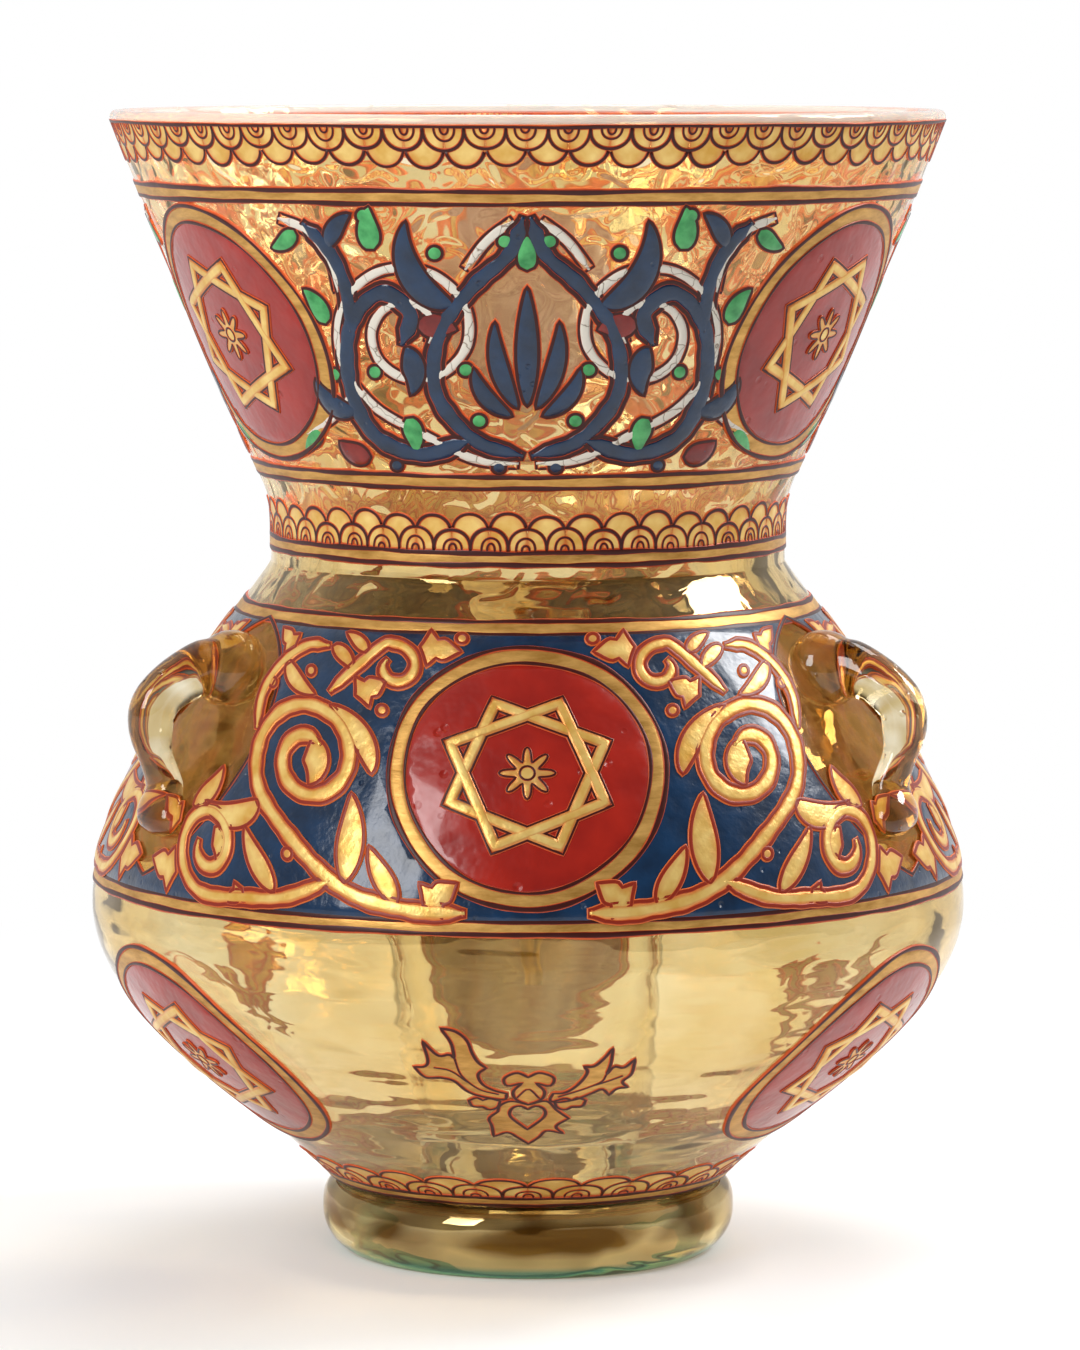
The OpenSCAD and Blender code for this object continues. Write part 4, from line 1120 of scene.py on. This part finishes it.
# Oil cup
# A loose beaker of thin clear glass that holds the oil. It stands on the vessel's floor, and its base
# is hollow to clear the kick in the floor.
CUP_BASE_R, CUP_RIM_R, CUP_H, CUP_WALL, CUP_BASE_T = 27.0, 35.0, 66.0, 2.2, 3.5
CUP_HOLLOW_H, CUP_RING_W, CUP_BEVEL, CUP_FILLET, CUP_SIDES = 1.5, 4.0, 0.5, 1.5, 128
hollow_z = FLOOR_Z + KICK_H + CUP_HOLLOW_H
oil_floor_z = hollow_z + CUP_BASE_T
rim_z, rim_half = FLOOR_Z + CUP_H - CUP_WALL / 2, CUP_WALL / 2
rim_turn = np.linspace(0, math.pi, 9)[1:-1]
cup_inner_r = CUP_BASE_R - CUP_WALL
cup_profile = (
    [(0, hollow_z), (KICK_R, hollow_z), (CUP_BASE_R - CUP_RING_W, FLOOR_Z), (CUP_BASE_R - CUP_BEVEL, FLOOR_Z)]
    + list(np.linspace((CUP_BASE_R, FLOOR_Z + CUP_BEVEL), (CUP_RIM_R, rim_z), 24))
    + [(CUP_RIM_R - rim_half + rim_half * math.cos(a), rim_z + rim_half * math.sin(a)) for a in rim_turn]
    + list(np.linspace((CUP_RIM_R - CUP_WALL, rim_z), (cup_inner_r + 0.2, oil_floor_z + CUP_FILLET), 22))
    + [(cup_inner_r - CUP_FILLET, oil_floor_z), (0, oil_floor_z)]
)

# Cup glass: colourless blown glass with a faint yellow tint and slow waves.
cup_glass, tree, place = start_material("clear cup glass")
waves = add(tree, "TexNoise", {"Vector": place, "Scale": 1 / (20 * MM), "Detail": 1.0})
tint = add(tree, "ValToRGB", {"Fac": waves}, [(0, "#f8f5ea"), (1, "#fdfcf7")])
wavy = add(tree, "Bump", {"Height": waves, "Strength": 0.2, "Distance": MM})
glass = add(tree, "BsdfPrincipled", {
    "Base Color": tint, "Normal": wavy, "Roughness": 0.02, "IOR": 1.48, "Transmission Weight": 1.0})
clear_to_shadow(tree, glass, "#f7f4e6")
cup = spin("oil_cup_glass", cup_profile, CUP_SIDES, cup_glass)
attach(cup, "oil_cup")
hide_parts("oil_cup")

# Wick holder
# A brass strip bent over the cup's rim, with a drawn brass tube and collar soldered through its middle.
# Both pieces are shown as the CAD has them, in the finish of old brass.
# Aged brass: rubbed bright on the ridges and brown where soot and oil have dulled it.
aged_brass, tree, place = start_material("aged brass")
tarnish = add(tree, "TexNoise", {"Vector": place, "Scale": 1 / (8 * MM), "Detail": 5.0})
brown = add(tree, "ValToRGB", {"Fac": tarnish}, [(0.35, "#6d5228"), (0.62, "#c9a55a")])
dull = add(tree, "MapRange", {"Value": tarnish, "To Min": 0.5, "To Max": 0.25})
scratch = add(tree, "TexNoise", {"Vector": place, "Scale": 1 / MM, "Detail": 2.0})
worn = add(tree, "Bump", {"Height": scratch, "Strength": 0.15, "Distance": 0.2 * MM})
metal = add(tree, "BsdfPrincipled", {"Base Color": brown, "Roughness": dull, "Metallic": 1.0, "Normal": worn})
add(tree, "OutputMaterial", {"Surface": metal})
for node in ("wick_strap", "wick_tube"):
    cad_piece = bpy.data.objects[node]
    cad_piece.data.materials.clear()
    cad_piece.data.materials.append(aged_brass)

# Floor and light
# A white studio sweep that fades into a white surround. The room in front of the lamp is dim, so the
# glass mirrors it darkly; softboxes stand at the left, at the right and overhead.
SWEEP_HALF, SWEEP_BACK = 30, 60
floor_mesh = bpy.data.meshes.new("floor")
floor_mesh.from_pydata([(-SWEEP_HALF, -SWEEP_HALF, 0), (SWEEP_HALF, -SWEEP_HALF, 0),
                        (SWEEP_HALF, SWEEP_BACK, 0), (-SWEEP_HALF, SWEEP_BACK, 0)], [], [(0, 1, 2, 3)])
floor = bpy.data.objects.new("floor", floor_mesh)
scene.collection.objects.link(floor)
white_sweep, tree, place = start_material("white paper sweep")
path = add(tree, "LightPath")
seen = add(tree, "Math", {0: path.outputs["Is Camera Ray"], 1: path.outputs["Is Glossy Ray"]},
           operation="MAXIMUM")
seen = add(tree, "Math", {0: seen, 1: path.outputs["Is Transmission Ray"]}, operation="MAXIMUM")
paper = add(tree, "BsdfDiffuse", {"Color": "#e8e8e8"})
lift = add(tree, "Math", {0: seen, 1: 0.15}, operation="MULTIPLY")
glow = add(tree, "Emission", {"Color": (1, 1, 1, 1), "Strength": lift})
near = add(tree, "AddShader", {0: paper, 1: glow})
far_level = add(tree, "MapRange", {"Value": seen, "To Min": 0.6, "To Max": 1.0})
far = add(tree, "Emission", {"Color": (1, 1, 1, 1), "Strength": far_level})
away = add(tree, "VectorMath", {0: place}, operation="LENGTH")
fade = add(tree, "MapRange", {"Value": away.outputs["Value"], "From Min": 160 * MM, "From Max": 550 * MM},
           interpolation_type="SMOOTHSTEP")
sweep = add(tree, "MixShader", {0: fade, 1: near, 2: far})
add(tree, "OutputMaterial", {"Surface": sweep})
floor.data.materials.append(white_sweep)

world = bpy.data.worlds.new("studio")
world.use_nodes = True
world.node_tree.nodes.clear()
tree = world.node_tree
path = add(tree, "LightPath")
towards = add(tree, "TexCoord").outputs["Generated"]
room = add(tree, "SeparateXYZ", {0: towards}).outputs
depth = add(tree, "MapRange", {"Value": room["Y"], "From Min": -0.6, "From Max": 0.5,
                               "To Min": 0.16, "To Max": 0.85}, interpolation_type="SMOOTHSTEP")
ceiling = add(tree, "MapRange", {"Value": room["Z"], "From Min": 0.35, "From Max": 0.7,
                                 "To Min": 1.0, "To Max": 0.1}, interpolation_type="SMOOTHSTEP")
level = add(tree, "Mix", {0: path.outputs["Is Transmission Ray"], 2: depth, 3: ceiling})
level = add(tree, "Mix", {0: path.outputs["Is Camera Ray"], 2: level, 3: 1.0})
sky = add(tree, "Background", {"Color": (1, 1, 1, 1), "Strength": level})
add(tree, "OutputWorld", {"Surface": sky})
scene.world = world
LOOK_AT_Z = 0.15


def softbox(name, azimuth, elevation, distance, width, tall, power):
    """A soft light that looks at the middle of the lamp: degrees from the front to the right and up, metres,
    and watts."""
    light = bpy.data.lights.new(name, "AREA")
    light.shape = "RECTANGLE"
    light.size, light.size_y, light.energy = width, tall, power
    lamp = bpy.data.objects.new(name, light)
    a, e = math.radians(azimuth), math.radians(elevation)
    lamp.location = (distance * math.sin(a) * math.cos(e), -distance * math.cos(a) * math.cos(e),
                     LOOK_AT_Z + distance * math.sin(e))
    lamp.rotation_euler = (math.radians(90) - e, 0, a)
    scene.collection.objects.link(lamp)


softbox("softbox_left", -40, 30, 1.5, width=0.5, tall=0.9, power=14)
softbox("softbox_right", 106, 42, 1.5, width=0.5, tall=0.6, power=16)
softbox("softbox_back", 165, 62, 1.6, width=0.8, tall=0.6, power=8)
